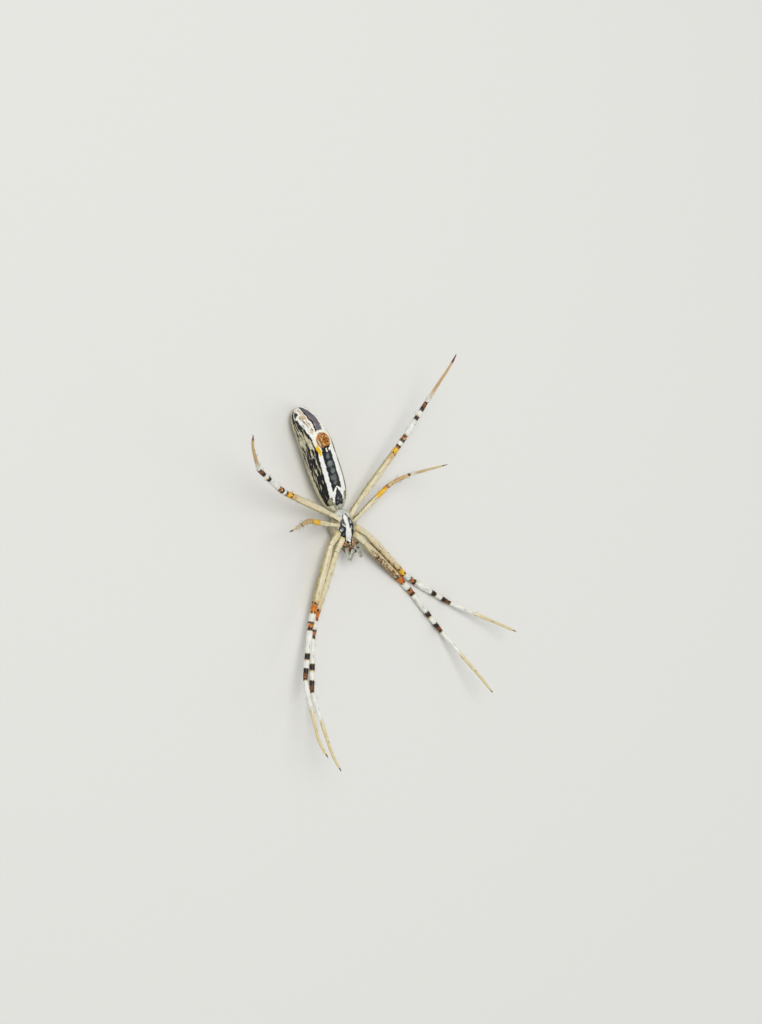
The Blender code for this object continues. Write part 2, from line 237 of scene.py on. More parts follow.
def sternumEdge(x, y):
    # Distance inside the plate, which is scalloped where the coxae stand.
    x = abs(x - carapace["sternumMiddle"])
    half = along(carapace["sternumWidths"], y)
    scallop = 0.05 * math.cos(y * 7.2 + 0.4)
    return min(half + scallop - x, y + 1.95, 1.78 - y)


def frontBodyMarks(place):
    # place: mm, from the body's middle.
    marks = Marks()
    x, y = place.x - carapace["sternumMiddle"], place.y
    inside = sternumEdge(place.x, y)
    if place.z > 1.5 and y > -2.05:  # belly side
        stripe = along(carapace["stripeWidths"], y) + 0.03 * noise.noise(Vector((x * 2, y * 5, 1.0)))
        marks.add("black", min(inside, abs(x + 0.02) - stripe))
        for side, spurY in ((-1, 0.12), (1, -0.45)):
            spur = 0.09 - abs(y - spurY - (abs(x) - 0.2)) * 0.7
            marks.add("white", min(spur, 0.66 - abs(x), x * side))
        for spotX, spotY, size in carapace["sternumSpots"]:
            distance = math.hypot(x - spotX, (y - spotY) * 0.75)
            marks.add("slate", min(size - distance, distance - 0.25 * size, 0.1))
            if size > 0.16:  # a bright arc of painted highlight on one side of the larger ones
                marks.add("white", 0.035 - abs(distance - 0.7 * size) - 0.2 * (x - spotX > 0.05))
        marks.add("white", min(stripe - abs(x + 0.02) + 0.02, y + 1.85, 1.7 - y))
        marks.add("khaki", min(y - 1.15, -inside, 0.2 + 0.4 * (abs(x) < 1.2)) - 0.05)
    elif y < -1.9:
        marks.add("brown", 0.25 - abs(place.z - 1.75) * 0.5)
    if place.z < 1.2:  # the back
        marks.add("brown", min(0.09 - abs(x) * 0.8, 0.45 - abs(y - 0.35)))
        for step in range(4):  # dark rays from the middle of the carapace towards the legs
            angle = math.radians(28 + 40 * step)
            ray = abs(x) * math.cos(angle) - (y - 0.35) * math.sin(angle)
            reach = abs(x) * math.sin(angle) + (y - 0.35) * math.cos(angle)
            marks.add("brown", min(0.05 - abs(ray) * 0.6, 1.5 - reach, reach - 0.4))
    marks.add("streaks", 0.34)
    for eyeX, eyeY, eyeZ, size in eyePlaces:  # a dark pit round each eye
        marks.add("black", size + 0.07 - math.dist((abs(place.x), y, place.z), (eyeX, eyeY, eyeZ)))
    return marks


def buildFrontBody():
    body = shapedBody("frontBody", carapace)
    spots = []
    for vert in body.data.vertices:
        place = vert.co - Vector((0, faceToMiddle / mm, 0))
        if place.z > 1.9 and place.y > -2.2:  # the plate stands a little above the soft skin round it
            vert.co.z -= 0.07 * (1 - ramp(-0.12, 0.05, sternumEdge(place.x, place.y)))
        spots.append((frontBodyMarks(place), (place.x, place.y, place.z)))
    storeMarks(body.data, spots)
    body.data.transform(Matrix.Translation((0, -faceToMiddle / mm, 0)))
    return body


abdomen = {
    "sides": 32, "rings": 40, "length": 14.2, "halfWidth": 2.0, "bluntness": 3.4, "narrowing": 0,
    "bend": -0.2,
    "widths": (
        (0, 0.92), (0.1, 1.1), (0.25, 1.13), (0.5, 1.1), (0.65, 1.06), (0.78, 1.05), (0.9, 1.05), (1, 0.95),
    ),
    "back": ((0, 1.0), (0.1, 0.6), (0.25, 0.25), (0.45, 0.0), (0.7, -0.12), (0.93, -0.1), (1, 0.0)),
    "belly": ((0, 3.0), (0.1, 3.4), (0.25, 3.9), (0.5, 4.35), (0.67, 4.6), (0.78, 4.0), (0.9, 2.9), (1, 1.8)),
    "yaw": 10, "aside": 0.58, "front": 2.45,  # degrees to the left, and where the front end stands in mm
    # radius round the body by share of its length; then, by mm from the front end, how far round from the
    # belly's midline each form reaches in mm, and the share of pale flecks on the flanks
    "girths": ((0, 1.5), (0.1, 1.95), (0.3, 2.2), (0.67, 2.25), (0.8, 2.0), (0.9, 1.6), (1, 1.0)),
    "stripes": ((0.8, 1.0), (1.6, 1.1), (2.8, 1.34), (5, 1.4), (7.6, 1.3), (8.6, 1.2), (9.6, 1.3)),
    "flankStarts": (
        (1.0, 1.85), (1.9, 1.8), (2.5, 1.3), (5, 1.4), (7.6, 1.3), (8.6, 1.2), (9.8, 1.2), (10.6, 1.5),
        (11.6, 2.0), (12.6, 2.1), (13.6, 1.5),
    ),
    "flankEnds": (
        (0.9, 2.3), (2, 2.5), (4, 2.9), (6.5, 3.35), (8, 3.7), (11.5, 3.55), (13.4, 2.5), (14.2, 1.6),
    ),
    "paleShares": ((1, 0.3), (3, 0.3), (6, 0.32), (8, 0.36), (9.5, 0.45), (11, 0.5), (13, 0.5)),
    "tailWidths": ((10.4, 0.34), (11, 0.56), (12.5, 0.52), (13.6, 0.36), (14.2, 0.12)),
    "margins": ((0, 3.0), (3, 3.6), (9, 3.85), (12, 3.4), (14.2, 2.4)),
    # mm round and along, and size, of the peach patches beside the tail
    "patches": ((-1.0, 12.95, 0.26), (-0.75, 13.6, 0.22), (-1.25, 12.0, 0.2), (-1.15, 11.2, 0.14)),
    "spinnerets": (0.07, 9.6),  # mm: the middle of the rosette, from the front end's middle
    "blotches": (  # smoky spots on the dark band and the arrowhead: middle and half-sizes in mm
        (-0.02, 7.6, 0.26, 0.42), (0.02, 6.5, 0.44, 0.44), (0.04, 5.55, 0.3, 0.4), (-0.02, 4.7, 0.42, 0.42),
        (-0.14, 3.95, 0.26, 0.26), (-0.08, 1.75, 0.2, 0.22), (0.26, 1.4, 0.14, 0.12), (-0.3, 1.25, 0.12, 0.1),
    ),
}
abdomenPlace = Matrix.Translation((-abdomen["aside"], abdomen["front"], 0)) @ Matrix.Rotation(
    math.radians(abdomen["yaw"]), 4, "Z"
)


def abdomenMarks(place):
    # place: mm, in the abdomen's own frame, which starts at its front end.
    marks = Marks()
    angle, share = bodyAngle(abdomen, place)
    y = place.y
    girth = along(abdomen["girths"], share)
    middle = -4 + 26 * ramp(9.8, 12.4, y)
    arc = math.radians(math.remainder(angle - middle, 360)) * girth  # mm round the body from the midline
    wide = abs(arc)
    ragged = 0.07 * noise.noise(Vector((arc * 1.1, y * 1.9, 3.0)))
    ragged += 0.05 * noise.noise(Vector((arc * 3, y * 5, 9.0)))
    ringX, ringY = abdomen["spinnerets"]
    fromRing = math.hypot(place.x - ringX, (y - ringY) * 0.92)
    # white between the dark forms, as two stripes that join in a chevron before the arrowhead
    stripe = along(abdomen["stripes"], y) + 1.3 * ragged
    stripe += 0.3 * (arc > 0)
    marks.add("white", min(stripe - wide, y - 1.0, 9.5 - y))
    # the dark band down the middle with smoky blotches, and the arrowhead in front of it
    marks.add("black", min(0.74 + 0.6 * ragged - wide, y - (3.5 - 0.95 * wide), 8.95 - 0.2 * wide - y))
    marks.add("black", min(0.62 - abs(arc + 0.12), y - 8.2, fromRing - 0.9, ringY - y))
    arrow = min(0.68 - wide, (3.3 - y) * 0.45 - wide, y - 0.9 + 0.3 * wide)
    marks.add("black", arrow + 0.8 * ragged)
    for blotchX, blotchY, sizeX, sizeY in abdomen["blotches"]:
        distance = math.hypot((arc - blotchX) / sizeX, (y - blotchY) / sizeY)
        marks.add("slate", (1 - distance) * 0.3 + 2.2 * ragged)
    # flanks: black from the stripe outwards with long pale flecks, denser towards the edge and the tail
    start = along(abdomen["flankStarts"], y)
    start += 1.6 * ragged + 0.45 * (arc > 0)
    flankEnd = along(abdomen["flankEnds"], y) + 2 * ragged
    flank = min(wide - start, flankEnd - wide, y - 1.1, fromRing - 1.36)
    marks.add("black", min(flank, 0.4))
    pale = along(abdomen["paleShares"], y)
    outward = ramp(0.05, 1.3, wide - start)
    marks.add("mottle", (pale - 0.06 + 0.14 * outward) * ramp(0.02, 0.16, flank))
    # the tail: a violet-grey band with black edges, cream and white beside it
    tailHalf = along(abdomen["tailWidths"], y)
    tail = min(tailHalf + 0.8 * ragged - wide, y - 10.3, fromRing - 1.12)
    marks.add("black", min(tail + 0.16 * (arc < 0), 0.1 - tail))
    if tail > 0.06:
        marks.add("violet", tail - 0.08)
    marks.add("white", min(wide - tailHalf, start + 0.2 - wide, y - 9.9, fromRing - 1.05))
    marks.add("lines", 0.34 * ramp(0.1, 0.5, wide - tailHalf) * ramp(10.2, 11, y) * (wide < start + 0.1))
    for patchArc, patchY, size in abdomen["patches"]:
        marks.add("peach", size - math.hypot(arc - patchArc, (y - patchY) * 0.6) + 2.4 * ragged)
    # a dark and a cream bar across each side of the tip
    marks.add("black", min(0.16 - abs(y - 13.55 + 0.5 * (wide - 1.5)), wide - 1.25, 2.6 - wide))
    marks.add("cream", min(0.12 - abs(y - 13.3 + 0.5 * (wide - 1.5)), wide - 1.35, 2.1 - wide))
    # the spinnerets' rusty ground in its cream ring, which the dark band breaks in front, and the spots there
    notch = min(0.5 + 0.8 * ragged - abs(arc + 0.14), ringY - 0.5 - y)
    marks.add("cream", min(fromRing - 1.0, 1.34 + 0.5 * ragged - fromRing, 0.2, -notch) * 1.2)
    marks.add("orange", 1.03 + 0.8 * ragged - fromRing)
    marks.add("mottle", 0.26 * (fromRing < 1.0))
    for lobe in range(7):  # dark folds between the spinnerets' bases
        lobeX, lobeY = ringX + 0.84 * math.cos(lobe * 0.9 + 0.3), ringY + 0.84 * math.sin(lobe * 0.9 + 0.3)
        marks.add("brown", 0.05 - math.hypot(place.x - lobeX, y - lobeY))
    marks.add("brown", 0.2 - math.hypot(place.x - ringX - 0.4, y - ringY + 0.5))
    marks.add("yellow", min(0.1 + 0.3 * (y - 8.05), 0.4, (9.6 - y) * 0.8, fromRing - 1.0) - abs(arc + 1.0))
    marks.add("cream", min(0.1 - abs(arc - 0.02), 0.28 - abs(y - 8.36)))
    marks.add("brown", 0.24 - math.hypot(arc + 0.42, y - 8.62))
    # book-lung covers, khaki with a dark edge, and the pale striped plate between them behind a dark line
    for side in (-1, 1):
        lung = min(0.36 - abs(arc - side * 1.45 + 0.12 * side * (y - 1.6)), 0.5 - abs(y - 1.62))
        marks.add("khaki", lung)
        marks.add("brown", min(0.06 - abs(lung + 0.02), 0.6 * (2.2 - y)))
    plate = min(1.15 - wide, y - 0.2, 1.15 - y + 0.3 * wide)
    marks.add("ash", plate)
    marks.add("lines", 0.42 * ramp(-0.05, 0.2, plate))
    marks.add("white", min(0.0 - y, 1.2 - wide))
    marks.add("black", min(0.04 + 0.5 * ragged - abs(y - 0.2 - 0.12 * wide), 1.2 - wide))
    # a beige margin with a thin dark edge; a silvery back
    marks.add("streaks", 0.3 * ramp(1.3, 1.7, wide) * (1 - ramp(2.9, 3.4, wide)))
    edge = along(abdomen["margins"], y)
    marks.add("brown", 0.045 - abs(wide - edge))
    back = ramp(edge, edge + 0.35, wide)
    marks.add("lines", 0.42 * back)
    for bar in range(9):  # fine dark bars across the back
        barY = 1.6 + bar * 1.35 + 0.25 * math.sin(bar * 2.3)
        marks.add("brown", min(0.05 - abs(y - barY - 0.22 * (math.pi * girth - wide)), wide - edge - 0.3))
    return marks


def buildAbdomen():
    body = shapedBody("abdomenBody", abdomen)
    spots = []
    normals = [vert.normal.copy() for vert in body.data.vertices]
    for vert, normal in zip(body.data.vertices, normals):
        angle = bodyAngle(abdomen, vert.co)[0]
        turn = math.radians(angle)
        spots.append((abdomenMarks(vert.co), (2.1 * math.sin(turn), vert.co.y, 2.1 * math.cos(turn))))
        vert.co -= normal * foldDepth(vert.co, angle)
    storeMarks(body.data, spots)
    body.data.transform(abdomenPlace)
    return body


def foldDepth(place, angle):
    # Folds of the soft skin: a furrow across the front of the belly, muscle dimples in pairs, and a low rim
    # round a hollow at the spinnerets; on the back, faint cross furrows.
    x, y = place.x, place.y
    down = 0.01 - 0.02 * noise.noise(Vector((x * 1.3, y, place.z * 1.3)))
    if abs(angle) < 80:
        down += 0.1 * math.exp(-(((y - 0.95 - 0.1 * abs(x)) / 0.1) ** 2))
        for dimple in (3.9, 5.3, 6.7, 8.0):
            for side in (-1, 1):
                down += 0.06 * math.exp(-(((x - side * 0.62) / 0.12) ** 2 + ((y - dimple) / 0.16) ** 2))
        ringX, ringY = abdomen["spinnerets"]
        fromRing = math.hypot(x - ringX, y - ringY)
        down -= 0.02 * math.exp(-(((fromRing - 1.05) / 0.16) ** 2))
        down += 0.14 * math.exp(-((fromRing / 0.62) ** 2))
    else:
        down += 0.05 * math.exp(-((math.remainder(y - 1.6, 1.35) / 0.12) ** 2)) * (abs(angle) > 140)
    return down


# The joints are read from the frame: each lies between the facing ends of two neighbouring segments.
facingReach = 0.16 * mm


def nodePoints(node):
    points = {tuple(round(value, 7) for value in vert.co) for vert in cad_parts[node].data.vertices}
    return [Vector(point) for point in sorted(points)]


def meanOf(points):
    return sum(points, Vector()) / len(points)


def jointBetween(first, second):
    tree = treeOf(second)
    return meanOf([point for point in first if tree.find(point)[2] < facingReach])


def ringCentres(points, start):
    # Centres of a tube's rings, in order from start: a ring ends where the next point is 0.35 mm further on.
    axis = (meanOf(points) - start).normalized()
    points = sorted(points, key=lambda point: (point - start).dot(axis))
    groups = [[points[0]]]
    for before, point in zip(points, points[1:]):
        if (point - before).dot(axis) > 0.35 * mm:
            groups.append([])
        groups[-1].append(point)
    return [meanOf(group) for group in groups]


legParts = ("coxa", "femur", "patella", "tibia", "foot")


def legPath(name):
    segments = [nodePoints(f"{name}_{part}") for part in legParts]
    joints = [jointBetween(first, second) for first, second in zip(segments, segments[1:])]
    inward = (meanOf(segments[0]) - joints[0]).normalized()
    hip = joints[0] + inward * legShapes[int(name[4])]["coxa"] * mm
    foot = ringCentres(segments[4], joints[3])[1:]
    return [(point - bodyOrigin) / mm for point in (hip, *joints, *foot)]


legSides = 22
legShapes = {
    # mm: radius of the femur, and length of the coxa with trochanter, inwards from its joint with the femur
    1: {"radius": 0.53, "coxa": 2.3},
    2: {"radius": 0.52, "coxa": 2.3},
    3: {"radius": 0.38, "coxa": 1.95},
    4: {"radius": 0.47, "coxa": 2.3},
}
legGirths = (
    # one profile for each segment, as (share of its length, share of the femur's radius)
    (
        (0, 0.42), (0.04, 0.62), (0.1, 0.76), (0.2, 0.84), (0.45, 0.9), (0.68, 0.88), (0.76, 0.76),
        (0.84, 0.82), (0.95, 0.78), (1, 0.68),
    ),
    ((0, 0.66), (0.03, 0.74), (0.18, 0.95), (0.45, 0.98), (0.8, 0.88), (0.96, 0.82), (1, 0.72)),
    ((0, 0.7), (0.1, 0.8), (0.5, 0.84), (0.85, 0.78), (1, 0.64)),
    ((0, 0.62), (0.05, 0.74), (0.25, 0.77), (0.6, 0.67), (0.95, 0.62), (1, 0.53)),
    ((0, 0.5), (0.03, 0.58), (0.12, 0.57), (0.3, 0.5), (0.7, 0.4), (0.97, 0.35), (1, 0.31)),
    ((0, 0.31), (0.1, 0.34), (0.6, 0.28), (0.9, 0.2), (1, 0.09)),
)
stationStep = 0.15  # mm


def softened(points, window):
    return [meanOf(points[max(0, i - window):i + window + 1]) for i in range(len(points))]


def legStations(name):
    # (place, segment + share along it, mm along the leg) at each station; the bends at the joints are round.
    path = legPath(name)
    ends = [0, 1, 2, 3, 4, len(path) - 2, len(path) - 1]  # path indices where segments begin
    stations, travelled = [], 0.0
    for segment in range(6):
        piece = path[ends[segment]:ends[segment + 1] + 1]
        lengths = [(b - a).length for a, b in zip(piece, piece[1:])]
        total, done = sum(lengths), 0.0
        for (a, b), length in zip(zip(piece, piece[1:]), lengths):
            steps = max(1, round(length / stationStep))
            for step in range(steps):
                share = (done + length * step / steps) / total
                stations.append((a.lerp(b, step / steps), segment + share, travelled + share * total))
            done += length
        travelled += total
    stations.append((path[-1], 5.999, travelled))
    places = softened(softened([station[0] for station in stations], 2), 1)
    wider = softened(softened(places, 6), 4)  # the slender end curves gently
    soft = [ramp(4.1, 4.4, station[1]) * ramp(5.98, 5.8, station[1]) for station in stations]
    places = [place.lerp(other, share) for place, other, share in zip(places, wider, soft)]
    return [(place, *station[1:]) for place, station in zip(places, stations)]


bandsOfFrontLegs = (
    # mark, from and to as segment + share along it: 0 coxa, 1 femur, 2 patella, 3 tibia, 4 metatarsus,
    # 5 tarsus; where a band fades out slowly, the mm that its far end takes
    ("brown", 0.69, 0.712), ("brown", 0.99, 1.004), ("peach", 1.86, 2.2), ("orange", 1.9, 2.13),
    ("white", 2.2, 2.66), ("black", 2.665, 2.735), ("orange", 2.76, 2.93), ("black", 2.975, 3.045),
    ("white", 3.06, 3.5), ("black", 3.51, 3.615), ("white", 3.65, 3.79), ("black", 3.805, 3.895),
    ("brown", 3.88, 3.985), ("black", 3.985, 4.02), ("white", 4.03, 4.42, 0.9), ("brown", 5.8, 6.1, 0.6),
    ("black", 5.93, 6.1),
)
bandsOfRearLegs = (
    ("brown", 0.69, 0.712), ("brown", 0.99, 1.004), ("peach", 1.8, 2.2), ("orange", 1.88, 1.985),
    ("black", 2.01, 2.12), ("white", 2.2, 2.5), ("black", 2.55, 2.72), ("orange", 2.78, 2.97),
    ("black", 2.97, 3.03), ("white", 3.05, 3.48), ("black", 3.49, 3.58), ("white", 3.62, 3.74),
    ("black", 3.755, 3.85), ("brown", 3.85, 3.98), ("black", 3.97, 4.02), ("white", 4.03, 4.2, 1.0),
    ("peach", 4.16, 6.1), ("brown", 5.3, 6.1, 0.8), ("black", 5.9, 6.1),
)
bandsOfThirdLegs = (
    ("brown", 0.69, 0.71), ("brown", 0.99, 1.004), ("yellow", 1.6, 1.95, 0.5), ("orange", 1.86, 1.99),
    ("black", 2.0, 2.1), ("peach", 2.1, 4.4, 1.0), ("brown", 2.56, 2.64), ("black", 3.85, 3.92),
    ("brown", 3.93, 3.99), ("white", 4.02, 4.15, 0.9), ("brown", 5.3, 6.1), ("black", 5.9, 6.1),
)
legBands = {1: bandsOfFrontLegs, 2: bandsOfFrontLegs, 3: bandsOfThirdLegs, 4: bandsOfRearLegs}
legDots = (
    # segment + share along it, radians from the upper side, radius in mm
    (1.89, 0.5, 0.18), (1.9, -0.6, 0.16), (1.89, 1.5, 0.18), (2.12, -0.1, 0.18), (2.13, 1.1, 0.16),
    (2.14, -1.2, 0.16), (2.73, 0.4, 0.16), (2.74, -0.8, 0.15), (2.97, 0.9, 0.17), (2.98, -0.4, 0.15),
)


def legMarks(name, place, lengths, turn):
    # place: segment + share; lengths: mm of the segments; turn: radians round the leg from its upper side.
    pair, marks = int(name[4]), Marks()
    segment = min(5, int(place))
    upper = math.cos(turn)
    ragged = 0.1 * noise.noise(Vector((math.cos(turn) * 1.2, place * 14, math.sin(turn) * 1.2 + pair)))
    for mark, start, end, *fade in legBands[pair]:
        first, last = int(start), min(5, int(end - 1e-6))
        if segment < first - 1 or segment > last + 1:
            continue
        before = (place - start) * lengths[first if place < start else segment]
        after = (end - place) * lengths[last if place > end else segment]
        if fade:
            after *= 0.1 / fade[0]
        distance = min(before, after) + ragged
        if mark == "orange":  # blots that are longest on the upper side
            distance = min(distance, 0.14) - 0.09 * (1 - upper)
        elif mark == "yellow":
            distance -= 0.06 * (1 - upper)
        elif mark == "brown" and place < 1.2:
            distance -= 0.03
        elif mark == "black":  # a rusty rim on both sides of each dark ring, and gaps in the first rings
            marks.add("brown", min(distance + 0.05, 0.5))
            gap = noise.noise(Vector((math.cos(turn) * 1.6, place * 3, math.sin(turn) * 1.6 + pair)))
            distance -= 0.05 * (1 - upper) * (place > 3.1) + 0.25 * ramp(0.02, 0.3, gap) * (place < 3.2)
        marks.add(mark, min(distance, 0.5))
    if 0.1 < place < 1.93:  # olive flanks of painted shade with fine streaks, a rosy bloom above with pale edges of painted highlight
        fade = ramp(0.1, 0.4, place) * ramp(1.93, 1.8, place)
        # olive here is painted shade down both flanks, where the femur turns away from the light
        oliveShade = (0.16 * abs(math.sin(turn)) - 0.13) * fade - 0.1 * (1 - fade) - 0.1 * (upper < -0.2)
        marks.add("oliveShade", oliveShade + ragged)
        marks.add("lines", 0.36 * ramp(0.9, 0.2, upper) * fade)
        marks.add("ash", (0.1 * upper - 0.08) * fade - 0.1 * (1 - fade) + 0.8 * ragged)
        # cream here is painted highlight: two pale lines along the femur's upper edges
        marks.add("cream", 0.05 - 0.3 * abs(abs(turn) - 0.62) - 0.1 * (1 - fade) + 0.6 * ragged)
    if name in ("leg_1_right", "leg_2_right") and 1.0 < place < 1.95:  # the outer pair's dark mottled front with a peach tint: partly real mottling, partly painted shade
        front = math.sin(turn) + (0.75 if pair == 1 else -0.1)
        marks.add("mottle", 0.54 * ramp(0.1, 0.9, front) * ramp(1.0, 1.3, place))
        marks.add("peach", 0.14 * ramp(0.0, 0.6, front) - 0.1 - 0.2 * ramp(1.5, 1.05, place) + 1.5 * ragged)
    if pair in (3, 4) and place < 0.85:  # painted shade: a dark line in the crease between the two hindmost coxae
        side = (1 if name.endswith("right") else -1) * (1 if pair == 4 else -1)
        creaseShade = math.remainder(turn - 0.9 * side, 2 * math.pi)
        marks.add("black", min(0.09 - abs(creaseShade) * 0.45, 0.8 - place))
    if name == "leg_4_left":  # the pale inner end of the coxa
        marks.add("white", min(0.24 - place, 0.1) * 0.8 + 0.08 * (upper - 1))
    if pair != 3:  # black dots round the blots
        for dotPlace, dotTurn, size in legDots:
            across = math.remainder(turn - dotTurn, 2 * math.pi) * 0.46
            down = (place - dotPlace) * lengths[min(5, int(dotPlace))]
            marks.add("black", size - math.hypot(across, down))
        if name in ("leg_2_right", "leg_4_left", "leg_4_right"):  # their blots are yellow in the middle
            marks.add("yellow", marks.get("orange", unmarked) - 0.03 - 0.4 * (place > 2.3))
    if 1.3 < place < 1.95:  # yellow flecks towards the knee
        fleck = noise.noise(Vector((place * 40, turn * 1.8, pair * 7.0)))
        marks.add("yellow", (fleck - 0.4) * 0.9 - 0.4 * ramp(1.75, 1.4, place))
    return marks


def frameOnPath(tangent):
    # Two directions square to the leg: its upper side and its flank.
    up = (Vector((0, 0, 1)) - tangent * tangent.z).normalized()
    return up, tangent.cross(up)


def tubeAlong(name, places, radii, sides):
    # A bevelled curve through the places, turned into a mesh with closed, rounded ends.
    curve = bpy.data.curves.new(name, "CURVE")
    curve.dimensions = "3D"
    curve.bevel_depth = 1.0
    curve.bevel_resolution = sides // 2 - 2
    curve.use_fill_caps = True
    spline = curve.splines.new("POLY")
    spline.points.add(len(places) - 1)
    for point, place, radius in zip(spline.points, places, radii):
        point.co = (*place, 1)
        point.radius = radius
    tube = bpy.data.objects.new(name, curve)
    bpy.context.scene.collection.objects.link(tube)
    makeActive(tube)
    bpy.ops.object.convert(target="MESH")
    tube = bpy.context.object
    bpy.ops.object.mode_set(mode="EDIT")
    bpy.ops.mesh.select_all(action="SELECT")
    bpy.ops.mesh.remove_doubles(threshold=0.0001)
    bpy.ops.mesh.normals_make_consistent(inside=False)
    bpy.ops.object.mode_set(mode="OBJECT")
    return tube


legs = {}


def buildLeg(name):
    stations = legStations(name)
    radius = legShapes[int(name[4])]["radius"]
    radii = [
        radius * along(legGirths[min(5, int(place))], place % 1) - coatDepth * (0.6 if place < 4 else 0.2)
        for _, place, _ in stations
    ]
    places = [station[0] for station in stations]
    tube = tubeAlong(name, places, radii, legSides)
    lengths = []
    for segment in range(6):
        ends = [distance for _, place, distance in stations if segment <= place < segment + 1]
        lengths.append(max(ends) - min(ends) + stationStep)
    tree = treeOf(places)
    tangents = [
        (places[min(i + 1, len(places) - 1)] - places[max(i - 1, 0)]).normalized() for i in range(len(places))
    ]
    spots = []
    for vert in tube.data.vertices:
        index = tree.find(vert.co)[1]
        up, flank = frameOnPath(tangents[index])
        out = vert.co - places[index]
        turn = math.atan2(out.dot(flank), out.dot(up))
        extra = out.dot(tangents[index])
        place = stations[index][1] + extra / lengths[min(5, int(stations[index][1]))]
        distance = stations[index][2] + extra
        marks = legMarks(name, place, lengths, turn)
        spots.append((marks, (0.5 * math.sin(turn), distance, 0.5 * math.cos(turn) + 10 * int(name[4]))))
    storeMarks(tube.data, spots)
    legs[name] = {"stations": stations, "radii": radii, "tangents": tangents, "places": places}
    return tube


palps = {
    # middle line from the hip to the elbow and back to the tip, mm
    "left": ((-0.92, -2.1, 2.3), (-0.8, -4.2, 2.35), (-0.28, -2.75, 3.12)),
    "right": ((0.92, -2.1, 2.3), (1.0, -4.2, 2.35), (0.34, -2.75, 3.12)),
    "radius": 0.27, "sides": 14,
    "girths": (
        (0, 0.86), (0.3, 0.96), (0.33, 0.9), (0.6, 0.98), (0.84, 0.9), (0.9, 0.86), (1.0, 0.86), (1.1, 0.86),
        (1.3, 1.0), (1.48, 0.98), (1.53, 0.9), (1.7, 1.0), (1.88, 0.82), (1.97, 0.5), (2, 0.2),
    ),
}


def palpMarks(place, turn):
    # place: 0 to 2, out to the elbow and back to the tip
    marks = Marks()
    for ring in (0.31, 0.88, 1.1, 1.51):
        marks.add("brown", 0.03 - abs(place - ring) * 1.6)
    marks.add("brown", min((0.16 - place) * 1.5, 0.2))
    marks.add("white", min(place - 0.2, 1.9 - place, 0.12) * 0.6 - 0.1 - 0.14 * math.cos(turn * 2))
    marks.add("black", (place - 1.93) * 2)
    marks.add("mottle", 0.3 * ramp(0.5, -0.5, math.cos(turn)))
    return marks


def buildPalp(side):
    hip, elbow, tip = (Vector(place) for place in palps[side])
    hip = hip.lerp(elbow, 0.05)
    shares = [step / 18 for step in range(19)] + [1 + step / 16 for step in range(1, 17)]
    places = [hip.lerp(elbow, share) if share <= 1 else elbow.lerp(tip, share - 1) for share in shares]
    places = softened(places, 1)
    radii = [palps["radius"] * along(palps["girths"], share) - 0.01 for share in shares]
    tube = tubeAlong(f"palp_{side}", places, radii, palps["sides"])
    spots = []
    for vert in tube.data.vertices:
        index = min(range(len(places)), key=lambda i: (places[i] - vert.co).length)
        turn = math.atan2(vert.co.x - places[index].x, vert.co.z - places[index].z)
        spots.append((palpMarks(shares[index], turn), (vert.co.x, vert.co.y, vert.co.z + 60)))
    storeMarks(tube.data, spots)
    return tube


# Mouth plates and jaws are swollen balls: middle and half-sizes in mm; lean, tilt and turn in degrees.
mouth = {
    "labium": ((-0.1, -1.98, 2.1), (0.28, 0.42, 0.24), (-22, 0, 0)),
    "maxilla_left": ((-0.62, -2.32, 1.94), (0.33, 0.62, 0.34), (-24, 0, 14)),
    "maxilla_right": ((0.44, -2.32, 1.94), (0.33, 0.62, 0.34), (-24, 0, -14)),
    "jaw_left": ((-0.36, -3.24, 1.62), (0.27, 0.36, 0.88), (12, 4, 0)),
    "jaw_right": ((0.36, -3.24, 1.62), (0.27, 0.36, 0.88), (12, -4, 0)),
}


def mouthMarks(name, place):
    marks = Marks()
    middle = Vector(mouth[name][0])
    out = place - middle
    ahead = -out.y
    if name == "labium":  # black, with the end of the white stripe and a cream knob
        marks.add("black", 0.3)
        marks.add("white", min(0.17 - abs(out.x + 0.02), -0.02 - ahead))
        marks.add("cream", 0.16 - math.hypot(out.x + 0.1, ahead - 0.24))
    elif name.startswith("maxilla"):  # rusty, with dark furrows that fan out from the mouth
        marks.add("orange", 0.2 + 0.1 * math.cos(ahead * 9))
        fan = math.atan2(out.x + math.copysign(0.5, middle.x), ahead - 0.75)
        marks.add("black", 0.1 * math.cos(fan * 22) - 0.04)
        marks.add("cream", 0.08 * math.cos(fan * 22 + 2.8) - 0.06 + 0.03 * ramp(0.0, 0.5, ahead))
        marks.add("black", 0.1 - abs(out.x - math.copysign(0.3, -middle.x)))
    else:
        marks.add("orange", 0.12 - 0.3 * abs(out.z + 0.1))
        marks.add("brown", (out.z - 0.4) * 0.4)
        marks.add("black", out.z - 0.68)
        marks.add("streaks", 0.12)
    marks.add("mottle", 0.3 if "jaw" not in name else 0.16)
    return marks


def swollenBall(name, middle, size, turns, sides, rings):
    # A ball drawn in towards its front end, at its place.
    deselectAll()
    bpy.ops.mesh.primitive_uv_sphere_add(segments=sides, ring_count=rings, radius=1.0)
    ball = bpy.context.object
    ball.name = ball.data.name = name
    for vert in ball.data.vertices:
        front = max(0.0, -vert.co.y)
        vert.co.x *= 1 - 0.25 * front
        vert.co.z *= 1 - 0.3 * front
    ball.scale = size
    ball.rotation_euler = [math.radians(turn) for turn in turns]
    ball.location = middle
    applyPlace(ball)
    return ball


def buildMouthPlate(name):
    plate = swollenBall(name, *mouth[name], 44, 30)
    spots = []
    for vert in plate.data.vertices:
        spots.append((mouthMarks(name, vert.co), (vert.co.x, vert.co.y, vert.co.z + 70)))
    storeMarks(plate.data, spots)
    return plate


